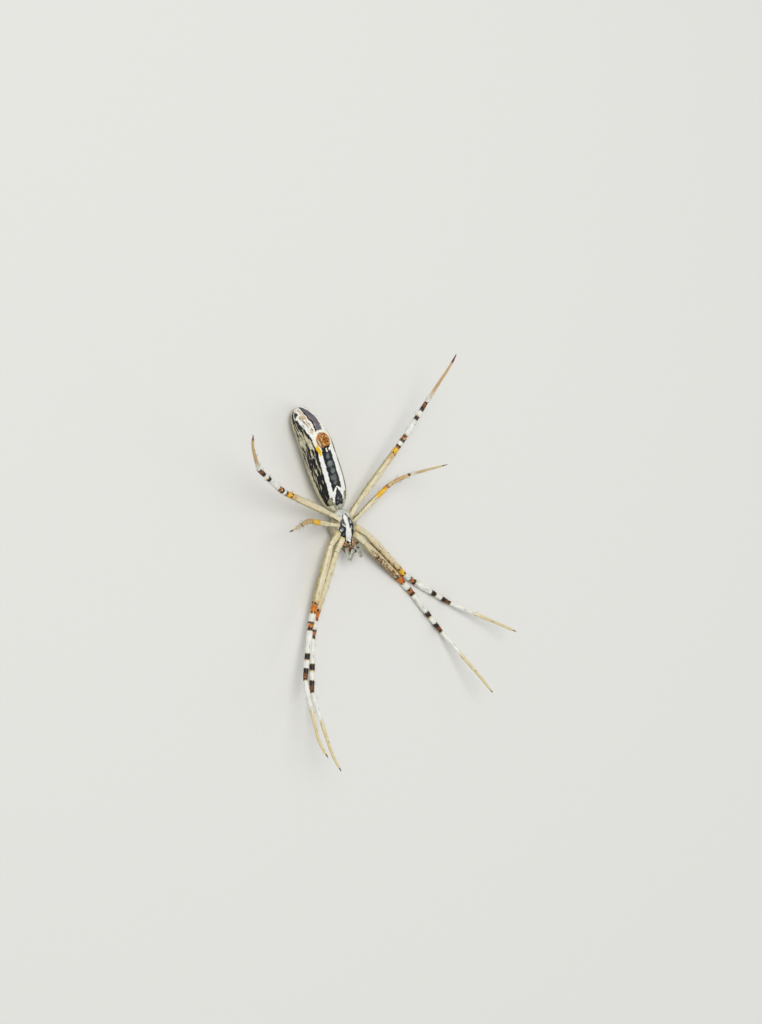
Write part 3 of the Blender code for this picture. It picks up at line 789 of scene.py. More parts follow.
spinnerets = {
    # lobes of the rosette: middle from the rosette's own, half-width and half-height in mm, and how many
    # degrees each tip leans inwards
    "lobes": (
        (-0.32, -0.3, 0.31, 0.34, 24), (0.32, -0.3, 0.31, 0.34, 24), (-0.36, 0.28, 0.27, 0.32, 26),
        (0.36, 0.28, 0.27, 0.32, 26), (-0.12, 0.02, 0.13, 0.3, 8), (0.13, 0.0, 0.13, 0.3, 8),
        (0.0, 0.56, 0.2, 0.24, 14), (0.0, -0.56, 0.15, 0.2, 10),
    ),
    "height": 4.56, "lean": -8,
}


def buildSpinneret(index):
    x, y, across, tall, lean = spinnerets["lobes"][index]
    deselectAll()
    bpy.ops.mesh.primitive_uv_sphere_add(segments=18, ring_count=14, radius=1.0)
    lobe = bpy.context.object
    lobe.name = lobe.data.name = f"spinneret_{index}"
    spots = []
    for vert in lobe.data.vertices:  # a cone with two joints and a blunt spinning field
        rise = vert.co.z
        turn = math.atan2(vert.co.y, vert.co.x)
        marks = Marks()
        marks.add("brown", 0.1 - abs(rise - 0.1) - 0.04)
        marks.add("brown", 0.12 - abs(rise + 0.5))
        marks.add("cream", 0.16 - abs(rise - 0.42) + 0.06 * math.cos(turn * 3 + index))
        marks.add("black", (rise - 0.88) * 0.8)
        marks.add("mottle", 0.45)
        marks.add("orange", 0.02 * math.cos(turn * 2 + index * 1.7))
        spots.append((marks, (vert.co.x * 0.3, vert.co.y * 0.3 + index, vert.co.z * 0.35 + 80)))
        taper = 1 - 0.3 * max(0.0, rise) - 0.05 * math.exp(-((rise - 0.1) / 0.08) ** 2)
        vert.co.x *= taper
        vert.co.y *= taper
    lobe.scale = (across, across, tall)
    inward = Vector((-x, -y, 0)).normalized()
    lobe.rotation_mode = "QUATERNION"
    lobe.rotation_quaternion = Quaternion(Vector((0, 0, 1)).cross(inward), math.radians(lean))
    lobe.location = (x, y, 0)
    applyPlace(lobe)
    storeMarks(lobe.data, spots)
    ringX, ringY = abdomen["spinnerets"]
    place = Matrix.Translation((ringX, ringY, spinnerets["height"]))
    lobe.data.transform(abdomenPlace @ place @ Matrix.Rotation(math.radians(spinnerets["lean"]), 4, "X"))
    return lobe


waist = {
    "path": ((-0.02, 1.7, 2.0), (-0.1, 2.2, 2.0), (-0.2, 2.6, 2.02), (-0.3, 3.1, 2.05)),
    "radii": (0.36, 0.29, 0.29, 0.36),
    "foldMiddle": (-0.66, 2.06, 2.06), "foldSize": (0.84, 0.5, 0.44),  # soft skin between the two halves
}


def buildWaist():
    places = [Vector(place) for place in waist["path"]]
    tube = tubeAlong("waist", places, waist["radii"], 16)
    fold = swollenBall("collar", waist["foldMiddle"], waist["foldSize"], (0, 0, 12), 28, 18)
    for piece in (tube, fold):
        spots = []
        for vert in piece.data.vertices:
            marks = Marks()
            marks.add("khaki", 0.3)
            marks.add("streaks", 0.22)
            marks.add("white", min(vert.co.z - 2.36, 0.1 - abs(vert.co.y - 1.95 - 0.25 * vert.co.x)))
            marks.add("black", 0.04 - abs(vert.co.y - 2.42 + 0.1 * vert.co.x))
            spots.append((marks, tuple(vert.co)))
        storeMarks(piece.data, spots)
    return [tube, fold]


finishes = ("frontBody", "abdomen", "leg", "palp", "mouth", "spinneret")


def tagged(piece, tag):
    piece["finish"] = tag
    return piece


def joinSkin(parts):
    # A Boolean union makes them one closed surface. Each of its vertices then takes the marks and the finish
    # of the nearest vertex from before.
    layers = (*markLayers, "skinPlace")
    places, kept = [], []
    for part in parts:
        columns = [part.data.attributes[layer].data for layer in layers]
        finish = finishes.index(part["finish"])
        for vert in part.data.vertices:
            places.append(vert.co.copy())
            kept.append(([tuple(column[vert.index].vector) for column in columns], finish))
    tree = treeOf(places)
    skin = parts[0]
    for other in parts[1:]:
        applyModifier(skin, "BOOLEAN", {"operation": "UNION", "solver": "MANIFOLD", "object": other})
        bpy.data.objects.remove(other, do_unlink=True)
    for layer in layers:
        if layer in skin.data.attributes:
            skin.data.attributes.remove(skin.data.attributes[layer])
    skin.data.materials.clear()
    found = [tree.find(vert.co)[1] for vert in skin.data.vertices]
    for column, layer in enumerate(layers):
        storeVectors(skin.data, layer, [value for index in found for value in kept[index][0][column]])
    for polygon in skin.data.polygons:
        tags = [kept[found[vertex]][1] for vertex in polygon.vertices]
        polygon.material_index = max(set(tags), key=tags.count)
    return skin


parts = [tagged(buildFrontBody(), "frontBody"), tagged(buildAbdomen(), "abdomen")]
parts += [tagged(piece, "frontBody") for piece in buildWaist()]
parts += [tagged(buildMouthPlate(name), "mouth") for name in mouth]
parts += [tagged(buildSpinneret(index), "spinneret") for index in range(len(spinnerets["lobes"]))]
parts += [tagged(buildPalp(side), "palp") for side in ("left", "right")]
parts += [tagged(buildLeg(name), "leg") for name in legNames]
print("forms made:", sum(len(part.data.vertices) for part in parts), "vertices")
skin = joinSkin(parts)
skin.name = skin.data.name = "skin"
print("skin joined:", len(skin.data.vertices), "vertices")


def colour(hexCode):
    # An sRGB hex colour as the linear one that a shader takes.
    values = [int(hexCode[i:i + 2], 16) / 255 for i in (0, 2, 4)]
    return (*[v / 12.92 if v <= 0.04045 else ((v + 0.055) / 1.055) ** 2.4 for v in values], 1.0)


def addNode(tree, kind, settings=None, links=None):
    # One node with its settings, and links from other nodes' sockets to its inputs.
    node = tree.nodes.new("ShaderNode" + kind)
    for key, value in (settings or {}).items():
        if isinstance(key, int) or key in node.inputs:
            node.inputs[key].default_value = value
        else:
            setattr(node, key, value)
    for key, source in (links or {}).items():
        tree.links.new(source, node.inputs[key])
    return node


def newMaterial(name):
    material = bpy.data.materials.new(name)
    material.use_nodes = True
    tree = material.node_tree
    tree.nodes.clear()
    shader = addNode(tree, "BsdfPrincipled")
    addNode(tree, "OutputMaterial", links={"Surface": shader.outputs["BSDF"]})
    return material, tree, shader


def cuticle(name, finish):
    # Skin of a spider: a pigmented layer under clear cuticle, its marks read from the piece's own attributes.
    material, tree, shader = newMaterial(name)
    place = addNode(tree, "Attribute", {"attribute_name": "skinPlace"}).outputs["Vector"]
    marks = {}
    for layer, names in markLayers.items():
        source = addNode(tree, "Attribute", {"attribute_name": layer})
        split = addNode(tree, "SeparateXYZ", links={"Vector": source.outputs["Vector"]})
        for index, mark in enumerate(names):
            marks[mark] = split.outputs[index]
    # edges of the marks waver by this much, in mm
    waver = addNode(
        tree, "TexNoise", {"Scale": 1 / finish["waver"], "Detail": 3.0, "Roughness": 0.6}, {"Vector": place}
    )
    wavering = addNode(
        tree, "MapRange",
        {"From Min": 0.3, "From Max": 0.7, "To Min": -finish["ragged"], "To Max": finish["ragged"]},
        {"Value": waver.outputs["Fac"]},
    ).outputs["Result"]
    # pigment varies softly over 1 mm and in fine grains
    cloud = addNode(tree, "TexNoise", {"Scale": 1.1, "Detail": 4.0, "Roughness": 0.65}, {"Vector": place})
    grain = addNode(tree, "TexNoise", {"Scale": 9.0, "Detail": 2.0, "Roughness": 0.7}, {"Vector": place})
    tone = addNode(
        tree, "MapRange", {"From Min": 0.32, "From Max": 0.68}, {"Value": cloud.outputs["Fac"]}
    ).outputs["Result"]
    base = addNode(
        tree, "Mix",
        {"data_type": "RGBA", 6: colour(finish["ground"][0]), 7: colour(finish["ground"][1])}, {0: tone},
    ).outputs[2]
    for mark, first, second, soft, *stretch in finish["layers"]:
        if stretch:  # a zone: long flecks along the body, denser where the zone is stronger
            stretched = addNode(
                tree, "Mapping", {"Scale": (1 / soft, 1 / (soft * stretch[0]), 1 / soft)}, {"Vector": place}
            ).outputs["Vector"]
            flow = addNode(
                tree, "TexNoise", {"Scale": 1.0, "Detail": 3.0, "Roughness": 0.55, "Distortion": 0.6},
                {"Vector": stretched},
            ).outputs["Fac"]
            spread = addNode(
                tree, "MapRange", {"From Min": 0.28, "From Max": 0.72}, {"Value": flow}
            ).outputs["Result"]
            edge = addNode(
                tree, "Math", {"operation": "SUBTRACT"}, {0: marks[mark], 1: spread}
            ).outputs["Value"]
            soft = 0.08
        else:
            edge = addNode(tree, "Math", {"operation": "ADD"}, {0: marks[mark], 1: wavering}).outputs["Value"]
        cover = addNode(
            tree, "MapRange",
            {"interpolation_type": "SMOOTHSTEP", "From Min": -soft, "From Max": soft}, {"Value": edge},
        ).outputs["Result"]
        tint = addNode(
            tree, "Mix", {"data_type": "RGBA", 6: colour(first), 7: colour(second)}, {0: tone}
        ).outputs[2]
        base = addNode(tree, "Mix", {"data_type": "RGBA"}, {0: cover, 6: base, 7: tint}).outputs[2]
    speckle = addNode(
        tree, "MapRange", {"From Min": 0.35, "From Max": 0.65, "To Min": 0.88, "To Max": 1.08},
        {"Value": grain.outputs["Fac"]},
    ).outputs["Result"]
    base = addNode(
        tree, "Mix", {"data_type": "RGBA", "blend_type": "MULTIPLY", 0: 1.0}, {6: base, 7: speckle}
    ).outputs[2]
    tree.links.new(base, shader.inputs["Base Color"])
    smooth, rough = finish["roughness"]
    gloss = addNode(
        tree, "MapRange",
        {"From Min": 0.3, "From Max": 0.7, "To Min": smooth, "To Max": rough},
        {"Value": grain.outputs["Fac"]},
    ).outputs["Result"]
    tree.links.new(gloss, shader.inputs["Roughness"])
    shader.inputs["IOR"].default_value = 1.5
    shader.inputs["Specular IOR Level"].default_value = finish.get("specular", 0.4)
    shader.inputs["Subsurface Weight"].default_value = finish.get("glow", 0.0)
    shader.inputs["Subsurface Radius"].default_value = (0.9, 0.7, 0.5)
    shader.inputs["Subsurface Scale"].default_value = 0.25 * mm
    # pores and wrinkles, with the lie of the short fur drawn out along the limb, all in mm
    pores = addNode(
        tree, "TexVoronoi",
        {"Scale": 1 / finish["pore"], "feature": "SMOOTH_F1", "Smoothness": 0.6}, {"Vector": place},
    ).outputs["Distance"]
    lie = addNode(tree, "Mapping", {"Scale": (16.0, 2.4, 16.0)}, {"Vector": place}).outputs["Vector"]
    fur = addNode(
        tree, "TexNoise", {"Scale": 1.0, "Detail": 2.0, "Roughness": 0.6}, {"Vector": lie}
    ).outputs["Fac"]
    height = addNode(tree, "Math", {"operation": "ADD"}, {0: pores, 1: fur}).outputs["Value"]
    height = addNode(
        tree, "Math", {"operation": "ADD"}, {0: height, 1: grain.outputs["Fac"]}
    ).outputs["Value"]
    bump = addNode(tree, "Bump", {"Strength": 0.6, "Distance": finish["depth"] * mm}, {"Height": height})
    tree.links.new(bump.outputs["Normal"], shader.inputs["Normal"])
    return material


# Each finish lists its layers from the ground up: a mark, its two tints and the softness of its edge in mm,
# or a zone with its two tints, the width of its flecks in mm and how many times longer they are.
# In mm too: waver and ragged are the length and height of an edge's waves, pore and depth the relief's.
frontBodyFinish = {  # hard plates under short down: greyish buff and satin, with black and white on the belly
    "ground": ("a99f80", "d6cfb4"), "waver": 0.35, "ragged": 0.05, "roughness": (0.4, 0.58), "pore": 0.09,
    "depth": 0.014,
    "layers": (
        ("brown", "4a3722", "6d5534", 0.06), ("streaks", "7a6a48", "8f7f58", 0.12, 4.0),
        ("khaki", "bcbfb2", "e0e2da", 0.12), ("cream", "dcd8c4", "eeebdd", 0.08),
        ("black", "0b0d10", "17191e", 0.03),
        ("slate", "69757a", "aab4b4", 0.06), ("white", "ecebe0", "fdfdf8", 0.035),
    ),
}
abdomenFinish = {  # soft stretched skin: cream and white with black bands, a low sheen, a little translucent
    "ground": ("c9bf98", "e2dcc0"), "waver": 0.3, "ragged": 0.06, "roughness": (0.34, 0.5), "pore": 0.12,
    "depth": 0.012, "glow": 0.12,
    "layers": (
        ("streaks", "4c4330", "6b6046", 0.2, 6.0), ("white", "efede2", "fefdf8", 0.035),
        ("khaki", "8a8a60", "a6a688", 0.05), ("ash", "b2b2a0", "cdcdbf", 0.06),
        ("peach", "dcb78a", "e8cfa8", 0.16),
        ("lines", "5a5038", "857a58", 0.16, 5.0), ("orange", "9a4414", "d2883a", 0.07),
        ("brown", "45210f", "5f4426", 0.05), ("black", "0a0b0d", "141418", 0.03),
        ("mottle", "989066", "f6eed4", 0.3, 6.0), ("slate", "384042", "848e86", 0.13),
        ("violet", "544a54", "7c717b", 0.05), ("cream", "f1e9ce", "fdf9e8", 0.05),
        ("yellow", "f4b708", "fbdc2c", 0.03),
    ),
}
legFinish = {  # hard smooth tubes of chitin: straw with orange blots and dark rings, a soft gloss
    "ground": ("d3bf88", "ebdcae"), "waver": 0.22, "ragged": 0.06, "roughness": (0.32, 0.48), "pore": 0.1,
    "depth": 0.012, "glow": 0.1,
    "layers": (
        # olive is painted shade on the femora's flanks; on the legs, cream only paints highlights along their
        # upper edges
        ("ash", "e2d0a8", "f0e2c6", 0.14), ("oliveShade", "a39a5c", "b8ad74", 0.12),
        ("lines", "857c4a", "a0945e", 0.12, 9.0), ("cream", "eee8c8", "f6f2dc", 0.1),
        ("peach", "cfa468", "dcc394", 0.3), ("white", "e2e2d6", "faf9f0", 0.09),
        ("mottle", "3a2412", "805a30", 0.2, 1.6), ("brown", "5a2f14", "94561f", 0.08),
        ("orange", "b8480e", "e8921a", 0.07), ("yellow", "ecaa18", "f6cc3a", 0.07),
        ("black", "120e0b", "2a1e15", 0.07),
    ),
}
palpFinish = {  # thinner chitin, half hidden by hairs: grey and pale, the most translucent
    "ground": ("9a9888", "bab8aa"), "waver": 0.2, "ragged": 0.04, "roughness": (0.34, 0.5), "pore": 0.08,
    "depth": 0.01, "glow": 0.15,
    "layers": (
        ("mottle", "827c62", "9a9478", 0.2, 1.8), ("white", "dbe2cc", "f2f6ea", 0.1),
        ("brown", "4d3a22", "6a5230", 0.06), ("black", "2a2118", "3a2c1e", 0.08),
    ),
}
mouthFinish = {  # thick mouth plates and jaws: warm brown, polished, dark where the plates meet
    "ground": ("8a5528", "b07c40"), "waver": 0.15, "ragged": 0.05, "roughness": (0.26, 0.42), "pore": 0.07,
    "depth": 0.012,
    "layers": (
        ("orange", "a9561e", "d88c3c", 0.08), ("mottle", "6a3616", "8a4e22", 0.14, 1.6),
        ("brown", "42220f", "5e3216", 0.07), ("streaks", "2e180c", "4a2812", 0.1, 3.2),
        ("black", "100e0c", "241911", 0.03), ("white", "e4e8e0", "f6f8f2", 0.04),
        ("cream", "d8c690", "eee2b8", 0.04),
    ),
}
spinneretFinish = {  # leathery lobes: rust red with cream rings and dark tips, rather dull
    "ground": ("a8531a", "c97a2a"), "waver": 0.12, "ragged": 0.06, "roughness": (0.36, 0.5), "pore": 0.06,
    "depth": 0.012,
    "layers": (
        ("mottle", "6a2a10", "8a3c16", 0.14, 1.5), ("orange", "cf8426", "e2a63c", 0.08),
        ("brown", "4a1c0c", "6e2f12", 0.06), ("cream", "d9ae62", "e8cb8a", 0.05),
        ("black", "2a120a", "3c1c10", 0.05),
    ),
}
skinMaterials = [
    cuticle("sternumCuticle", frontBodyFinish),
    cuticle("abdomenSkin", abdomenFinish),
    cuticle("legCuticle", legFinish),
    cuticle("palpCuticle", palpFinish),
    cuticle("mouthCuticle", mouthFinish),
    cuticle("spinneretCuticle", spinneretFinish),
]
for material in skinMaterials:
    skin.data.materials.append(material)

toPart = Matrix.Translation(bodyOrigin) @ Matrix.Scale(mm, 4)


def placePiece(piece, nodes=()):
    # Puts a piece made in mm round the body's middle where the part is, and gives it to the frame.
    piece.data.transform(toPart)
    makeActive(piece)
    bpy.ops.object.shade_smooth()
    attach(piece, "root")
    if nodes:
        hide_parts(*nodes)


# Hairs are thin closed blades that lie along the body and overlap, shortest on the face and feet.
coat = {
    # hairs on each square mm, length and half-width in mm, how far they stand up in degrees
    "frontBody": {"density": 55, "length": 0.32, "width": 0.015, "lift": 13},
    "abdomen": {"density": 24, "length": 0.26, "width": 0.012, "lift": 10},
    "leg": {"density": 32, "length": 0.34, "width": 0.013, "lift": 21},
    "palp": {"density": 60, "length": 0.24, "width": 0.011, "lift": 26},
    "mouth": {"density": 34, "length": 0.2, "width": 0.011, "lift": 26},
}
spines = {
    # where they stand on a leg, as segment + share, each with its turns round the leg in radians
    "rows": (
        (1.3, (-1.4, 0.1)), (1.5, (1.4, -0.3)), (1.7, (-1.5, 0.2)), (1.86, (1.3, -1.2)), (2.55, (0.1,)),
        (2.93, (-0.6, 1.1)), (3.12, (-1.3, 0.9)), (3.34, (0.2, 1.9)), (3.56, (-1.5, 0.8)), (3.8, (-0.4, 1.6)),
        (4.07, (-1.4, 1.3)), (4.24, (0.1, 2.4)), (4.45, (-1.2, 1.2)), (4.7, (0.3,)),
    ),
    "length": 0.82, "width": 0.024, "lift": 40, "scatter": 0.15, "sunk": 0.03, "droop": 0.12, "rings": 4,
}
blade = {"taper": 0.75, "ridge": 0.8, "unwrapWidth": 0.0028, "unwrapLength": 0.003}  # half-widths, (u, v)
hair = {"spread": 0.35, "sunk": 0.012, "droop": 0.1, "rings": 2}  # radians, mm, share of the length


def bladesPiece(name, blades, rings):
    # A blade: root, direction, normal, length, half-width, droop, (u, v), and the corner of the skin whose
    # marks it takes.
    verts, faces, spots, places = [], [], [], []
    for root, direction, normal, length, width, droop, spot, corner in blades:
        first = len(verts)
        aside = direction.cross(normal).normalized()
        for step in range(rings):
            share = step / rings
            middle = root + direction * (length * share) - normal * (droop * length * share * share)
            half = width * (1 - blade["taper"] * share)
            verts += [middle + aside * half, middle - aside * half, middle + normal * (half * blade["ridge"])]
            ahead = spot[1] + blade["unwrapLength"] * share - blade["unwrapLength"] / 2
            places += [(spot[0] + shift * blade["unwrapWidth"] / 2, ahead) for shift in (-1, 1, 0)]
        verts.append(root + direction * length - normal * (droop * length))
        places.append((spot[0], spot[1] + blade["unwrapLength"] / 2))
        faces.append((first, first + 1, first + 2))
        for step in range(rings - 1):
            low = first + 3 * step
            for a, b in ((0, 1), (1, 2), (2, 0)):
                faces.append((low + b, low + a, low + 3 + a, low + 3 + b))
        low = first + 3 * (rings - 1)
        faces += [(low + b, low + a, first + 3 * rings) for a, b in ((0, 1), (1, 2), (2, 0))]
        spots += [corner] * (3 * rings + 1)
    piece = newPiece(name, verts, faces)
    for layer, values in skinValues.items():
        storeVectors(piece.data, layer, [value for corner in spots for value in values[corner]])
    unwrap = piece.data.uv_layers.new(name="OFBake")
    corners = [places[loop.vertex_index] for loop in piece.data.loops]
    unwrap.uv.foreach_set("vector", [value for corner in corners for value in corner])
    return piece


stationList = [(name, index) for name, leg in legs.items() for index in range(len(leg["places"]))]
stationTree = treeOf([legs[name]["places"][index] for name, index in stationList])
skinValues = {
    layer: [tuple(item.vector) for item in skin.data.attributes[layer].data]
    for layer in (*markLayers, "skinPlace")
}
tailward = Vector((-math.sin(math.radians(abdomen["yaw"])), math.cos(math.radians(abdomen["yaw"])), 0))


def lieOfHair(tag, root):
    # (piece, direction, size against the coat's own, (u, v) on an unwrap of the limb or body)
    if tag == "leg":
        name, index = stationList[stationTree.find(root)[1]]
        leg = legs[name]
        station = leg["stations"][index]
        up, flank = frameOnPath(leg["tangents"][index])
        out = root - leg["places"][index]
        turn = math.atan2(out.dot(flank), out.dot(up)) / (2 * math.pi) + 0.5
        size = along(((0, 0.8), (1, 0.95), (3, 1.0), (4, 0.8), (5, 0.55), (6, 0.4)), station[1])
        column = (int(name[4]) - 1 + 0.04 + 0.92 * turn) / 4
        spot = (column, 0.01 + 0.98 * station[2] / leg["stations"][-1][2])
        return f"legHair{name[6:].capitalize()}", leg["tangents"][index], size, spot
    if tag == "abdomen":
        inner = abdomenPlace.inverted() @ root
        angle, share = bodyAngle(abdomen, inner)
        return "abdomenHair", tailward, 1.0, (angle / 370 + 0.5, 0.01 + 0.98 * share)
    inner = root + Vector((0, faceToMiddle / mm, 0))
    angle, share = bodyAngle(carapace, inner)
    if tag == "frontBody":
        size = 0.55 + 0.45 * ramp(0.08, 0.35, share)
        return "frontHair", Vector((0.3 * root.x, 1.0, 0.1)), size, (angle / 370 + 0.5, 0.2 + 0.78 * share)
    spot = (0.5 + angle / 370, 0.1 + 0.04 * root.y)
    return "faceHair", Vector((0.1 * root.x, -1.0, 0.25)), 1.0, spot


def spotOf(point, decimals):
    return tuple(round(value, decimals) for value in point)


def growCoat():
    # The union may number its faces in another order each run, so they are sorted by place and each seeds its
    # own draws.
    blades = {}
    for polygon in sorted(skin.data.polygons, key=lambda polygon: spotOf(polygon.center, 3)):
        tag = finishes[polygon.material_index]
        if tag not in coat:
            continue
        look = coat[tag]
        normal = polygon.normal
        draw = random.Random(str(spotOf(polygon.center, 2)))
        indices = sorted(polygon.vertices, key=lambda index: spotOf(skin.data.vertices[index].co, 3))
        corners = [skin.data.vertices[index].co for index in indices]
        for _ in range(int(polygon.area * look["density"] + draw.random())):
            weights = [-math.log(1 - draw.random()) for _ in corners]
            root = sum((corner * weight for corner, weight in zip(corners, weights)), Vector()) / sum(weights)
            piece, direction, size, spot = lieOfHair(tag, root)
            direction = (direction - normal * direction.dot(normal)).normalized()
            direction.rotate(Quaternion(normal, draw.uniform(-hair["spread"], hair["spread"])))
            lift = math.radians(look["lift"] * draw.uniform(0.6, 1.3))
            direction = direction * math.cos(lift) + normal * math.sin(lift)
            length = look["length"] * size * draw.uniform(0.7, 1.15)
            width = look["width"] * (0.5 + 0.5 * size)
            root = root - normal * hair["sunk"]
            blades.setdefault(piece, []).append(
                (root, direction, normal, length, width, hair["droop"], spot, indices[0])
            )
    return blades


def growSpines():
    blades = []
    corners = treeOf([vert.co for vert in skin.data.vertices])
    for name, leg in legs.items():
        shares = [station[1] for station in leg["stations"]]
        for share, turns in spines["rows"]:
            index = min(range(len(shares)), key=lambda i: abs(shares[i] - share))
            up, flank = frameOnPath(leg["tangents"][index])
            for turn in turns:
                turn += rng.uniform(-spines["scatter"], spines["scatter"])
                normal = up * math.cos(turn) + flank * math.sin(turn)
                root = leg["places"][index] + normal * (leg["radii"][index] - spines["sunk"])
                lift = math.radians(spines["lift"] * rng.uniform(0.85, 1.2))
                direction = leg["tangents"][index] * math.cos(lift) + normal * math.sin(lift)
                length = spines["length"] * rng.uniform(0.8, 1.15) * (1.0 if share < 4.3 else 0.75)
                column = (int(name[4]) - 1 + 0.1 + 0.8 * (turn / 7 + 0.5)) / 8 + 0.5 * name.endswith("right")
                spot = (column, share / 6)
                corner = corners.find(root)[1]
                width, droop = spines["width"], spines["droop"]
                blades.append((root, direction, normal, length, width, droop, spot, corner))
    return bladesPiece("legSpines", blades, spines["rings"])


hairPieces = {name: bladesPiece(name, blades, hair["rings"]) for name, blades in growCoat().items()}
for name, piece in hairPieces.items():
    print(name, len(piece.data.polygons), "faces")
legSpines = growSpines()


def horn(name, dark, light, roughness):
    # Hard dark chitin: sclerotised cuticle, polished, clouded with a lighter tone, with a fine grain.
    material, tree, shader = newMaterial(name)
    place = addNode(tree, "TexCoord").outputs["Object"]
    cloud = addNode(
        tree, "TexNoise", {"Scale": 1 / (0.3 * mm), "Detail": 3.0, "Roughness": 0.6}, {"Vector": place}
    )
    tone = addNode(tree, "MapRange", {"From Min": 0.35, "From Max": 0.65}, {"Value": cloud.outputs["Fac"]})
    base = addNode(
        tree, "Mix", {"data_type": "RGBA", 6: colour(dark), 7: colour(light)}, {0: tone.outputs["Result"]}
    )
    tree.links.new(base.outputs[2], shader.inputs["Base Color"])
    gloss = addNode(
        tree, "MapRange",
        {"To Min": roughness * 0.8, "To Max": roughness * 1.4}, {"Value": cloud.outputs["Fac"]},
    )
    tree.links.new(gloss.outputs["Result"], shader.inputs["Roughness"])
    shader.inputs["IOR"].default_value = 1.56
    grain = addNode(tree, "TexNoise", {"Scale": 1 / (0.05 * mm), "Detail": 2.0}, {"Vector": place})
    bump = addNode(tree, "Bump", {"Strength": 0.4, "Distance": 0.006 * mm}, {"Height": grain.outputs["Fac"]})
    tree.links.new(bump.outputs["Normal"], shader.inputs["Normal"])
    return material


def coatOf(name, finish):
    # Hairs: fine dry chitin with the pigment of the skin under it, a little duller and almost without relief.
    return cuticle(name, {**finish, "depth": 0.002, "roughness": (0.42, 0.56), "glow": 0.0})


hairMaterials = {
    "legHairLeft": coatOf("legHairs", legFinish),
    "abdomenHair": coatOf("abdomenHairs", abdomenFinish),
    "frontHair": coatOf("silveryHairs", {**frontBodyFinish, "ground": ("c9c4b2", "efece0")}),
    "faceHair": coatOf("faceHairs", palpFinish),
}
hairMaterials["legHairRight"] = hairMaterials["legHairLeft"]
for name, piece in hairPieces.items():
    piece.data.materials.append(hairMaterials[name])
    placePiece(piece)
legSpines.data.materials.append(horn("spineChitin", "2a1a10", "5a3c22", 0.34))
placePiece(legSpines)


claw = {
    # three on each foot: side and size of a curved pair and of a short one between; mm
    "kinds": ((-1, 1.0), (1, 1.0), (0, 0.6)), "steps": 5, "length": 0.2, "sunk": 0.06, "apart": 0.03,
    "drop": 0.09, "radius": 0.026, "taper": 0.85, "sides": 10,
}
fang = {  # path of the right one and its radii, mm
    "path": (
        (0.44, -3.2, 2.3), (0.38, -3.4, 2.46), (0.26, -3.48, 2.5), (0.14, -3.42, 2.46), (0.05, -3.3, 2.38),
    ),
    "radii": (0.1, 0.085, 0.062, 0.04, 0.012), "sides": 10,
}


def buildClaws():
    hooks = []
    for name in legNames:
        leg = legs[name]
        tip, ahead = leg["places"][-1], leg["tangents"][-1]
        up, flank = frameOnPath(ahead)
        for aside, reach in claw["kinds"]:
            spots, radii = [], []
            for step in range(claw["steps"] + 1):
                share = step / claw["steps"]
                spots.append(
                    tip + ahead * (reach * (claw["length"] * share - claw["sunk"]))
                    + flank * (aside * (claw["apart"] + claw["apart"] * share))
                    - up * (claw["drop"] * reach * share**2)
                )
                radii.append(claw["radius"] * reach * (1 - claw["taper"] * step / claw["steps"]))
            hooks.append(tubeAlong("claw", spots, radii, claw["sides"]))
    return joinPieces("tarsalClaws", hooks)


def buildFangs():
    hooks = []
    for side in (-1, 1):
        spots = [Vector((side * x, y, z)) for x, y, z in fang["path"]]
        hooks.append(tubeAlong("fang", spots, fang["radii"], fang["sides"]))
    return joinPieces("fangs", hooks)


def buildEyes():
    # Domed lenses in raised rims, two rows of four.
    parts = []
    lens = horn("eyeLens", "070505", "2a1a10", 0.05)
    rim = horn("eyeRim", "241a12", "54422c", 0.3)
    for row in eyeRows:
        for sideName, side in (("left", -1), ("right", 1)):
            low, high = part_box(f"eye_{row}_{sideName}")
            low, high = (low - bodyOrigin) / mm, (high - bodyOrigin) / mm
            radius = (high.z - low.z) / 2
            outer = high.x if side > 0 else low.x
            middle = Vector((outer - side * radius, low.y + radius, (low.z + high.z) / 2))
            out = (middle - Vector((0, -2.1, 1.0))).normalized()
            turn = out.to_track_quat("Z", "Y")
            deselectAll()
            bpy.ops.mesh.primitive_uv_sphere_add(segments=24, ring_count=16, radius=radius)
            ball = bpy.context.object
            for vert in ball.data.vertices:  # a steeper dome towards the light
                vert.co.z *= 1.06 if vert.co.z > 0 else 0.8
            ball.rotation_euler = turn.to_euler()
            ball.location = middle
            applyPlace(ball)
            ball.data.materials.append(lens)
            deselectAll()
            bpy.ops.mesh.primitive_torus_add(
                major_segments=28, minor_segments=10, major_radius=radius * 0.98, minor_radius=radius * 0.16,
                location=middle - out * radius * 0.12, rotation=turn.to_euler(),
            )
            ring = bpy.context.object
            applyPlace(ring)
            ring.data.materials.append(rim)
            parts += [ball, ring]
    return joinPieces("eyes", parts)


claws = buildClaws()
claws.data.materials.append(horn("clawChitin", "1a100a", "3a2414", 0.25))
placePiece(claws)
fangs = buildFangs()
fangs.data.materials.append(horn("fangChitin", "120806", "5a2412", 0.14))
placePiece(fangs)
eyes = buildEyes()
eyeNodes = [f"eye_{row}_{side}" for row in eyeRows for side in ("left", "right")]
placePiece(eyes, eyeNodes)
fleshNodes = ["cephalothorax", "pedicel", "abdomen", "spinnerets", "palp_left", "palp_right"]
fleshNodes += ["chelicera_left", "chelicera_right"]
fleshNodes += [f"{name}_{part}" for name in legNames for part in legParts]
placePiece(skin, fleshNodes)
print("coat, spines, claws, fangs and eyes made")

studio = {
    "floor": "e3e1db", "floorSize": 3.0,  # m
    "key": (-0.1, 0.16, 0.45, 0.85), "fill": (0.35, -0.3, 0.3, 0.35), "lampSize": 0.25,  # m, and W
    "daylight": 0.6, "daylightAngle": 50, "air": 0.54,
    # camera: mm from the body's middle, and its axes
    "camera": (-121.0, 35.46, 183.13), "right": (0.78260, -0.20535, 0.58769),
    "up": (0.25808, 0.96611, -0.00609), "back": (-0.56652, 0.15643, 0.80907), "lens": 60, "sensor": 36,
}


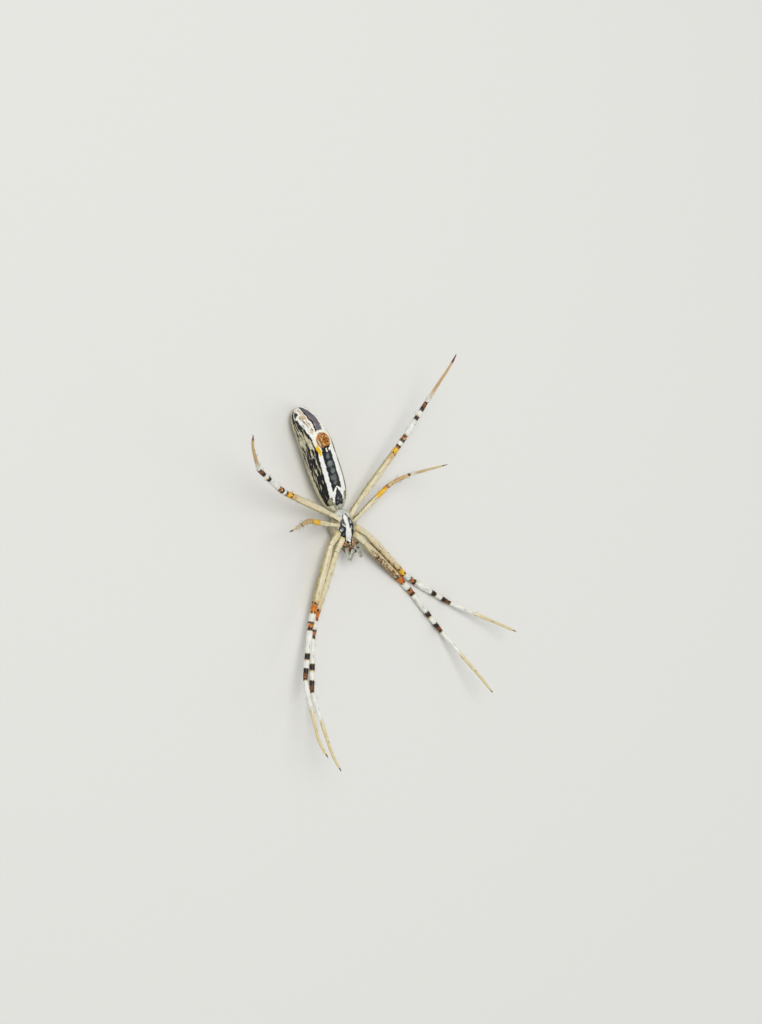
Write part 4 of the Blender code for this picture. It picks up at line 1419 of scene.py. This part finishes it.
def buildStudio():
    deselectAll()
    bpy.ops.mesh.primitive_plane_add(size=studio["floorSize"])
    floor = bpy.context.object
    floor.name = "floor"
    material, tree, shader = newMaterial("studioPaper")  # matt pale paper: no shine, a faint fibre
    shader.inputs["Base Color"].default_value = colour(studio["floor"])
    shader.inputs["Roughness"].default_value = 0.9
    shader.inputs["Specular IOR Level"].default_value = 0.1
    place = addNode(tree, "TexCoord").outputs["Object"]
    fibre = addNode(tree, "TexNoise", {"Scale": 900.0, "Detail": 3.0, "Roughness": 0.6}, {"Vector": place})
    bump = addNode(tree, "Bump", {"Strength": 0.15, "Distance": 0.2 * mm}, {"Height": fibre.outputs["Fac"]})
    tree.links.new(bump.outputs["Normal"], shader.inputs["Normal"])
    floor.data.materials.append(material)
    for name, (x, y, z, power) in (("key", studio["key"]), ("fill", studio["fill"])):
        bpy.ops.object.light_add(type="AREA", location=(x, y, z))
        light = bpy.context.object
        light.name = name
        light.data.size = studio["lampSize"]
        light.data.energy = power
        light.rotation_euler = (-light.location).to_track_quat("-Z", "Y").to_euler()
    bpy.ops.object.light_add(type="SUN", location=studio["key"][:3])  # soft daylight evens the floor far out
    daylight = bpy.context.object
    daylight.name = "daylight"
    daylight.data.energy = studio["daylight"]
    daylight.data.angle = math.radians(studio["daylightAngle"])
    daylight.rotation_euler = (-daylight.location).to_track_quat("-Z", "Y").to_euler()
    world = bpy.data.worlds.new("studioAir")
    bpy.context.scene.world = world
    world.use_nodes = True
    background = world.node_tree.nodes["Background"]
    background.inputs["Color"].default_value = colour("eef2f6")
    background.inputs["Strength"].default_value = studio["air"]
    data = bpy.data.cameras.new("camera")
    camera = bpy.data.objects.new("camera", data)
    bpy.context.scene.collection.objects.link(camera)
    right, up, back = (Vector(studio[key]) for key in ("right", "up", "back"))
    turn = Matrix((right, up, back)).transposed().to_4x4()
    camera.matrix_world = Matrix.Translation(bodyOrigin + Vector(studio["camera"]) * mm) @ turn
    data.lens = studio["lens"]
    data.sensor_width = studio["sensor"]
    data.clip_start, data.clip_end = 0.01, 10
    bpy.context.scene.camera = camera
    bpy.context.scene.view_settings.view_transform = "Standard"


buildStudio()
print("studio set")
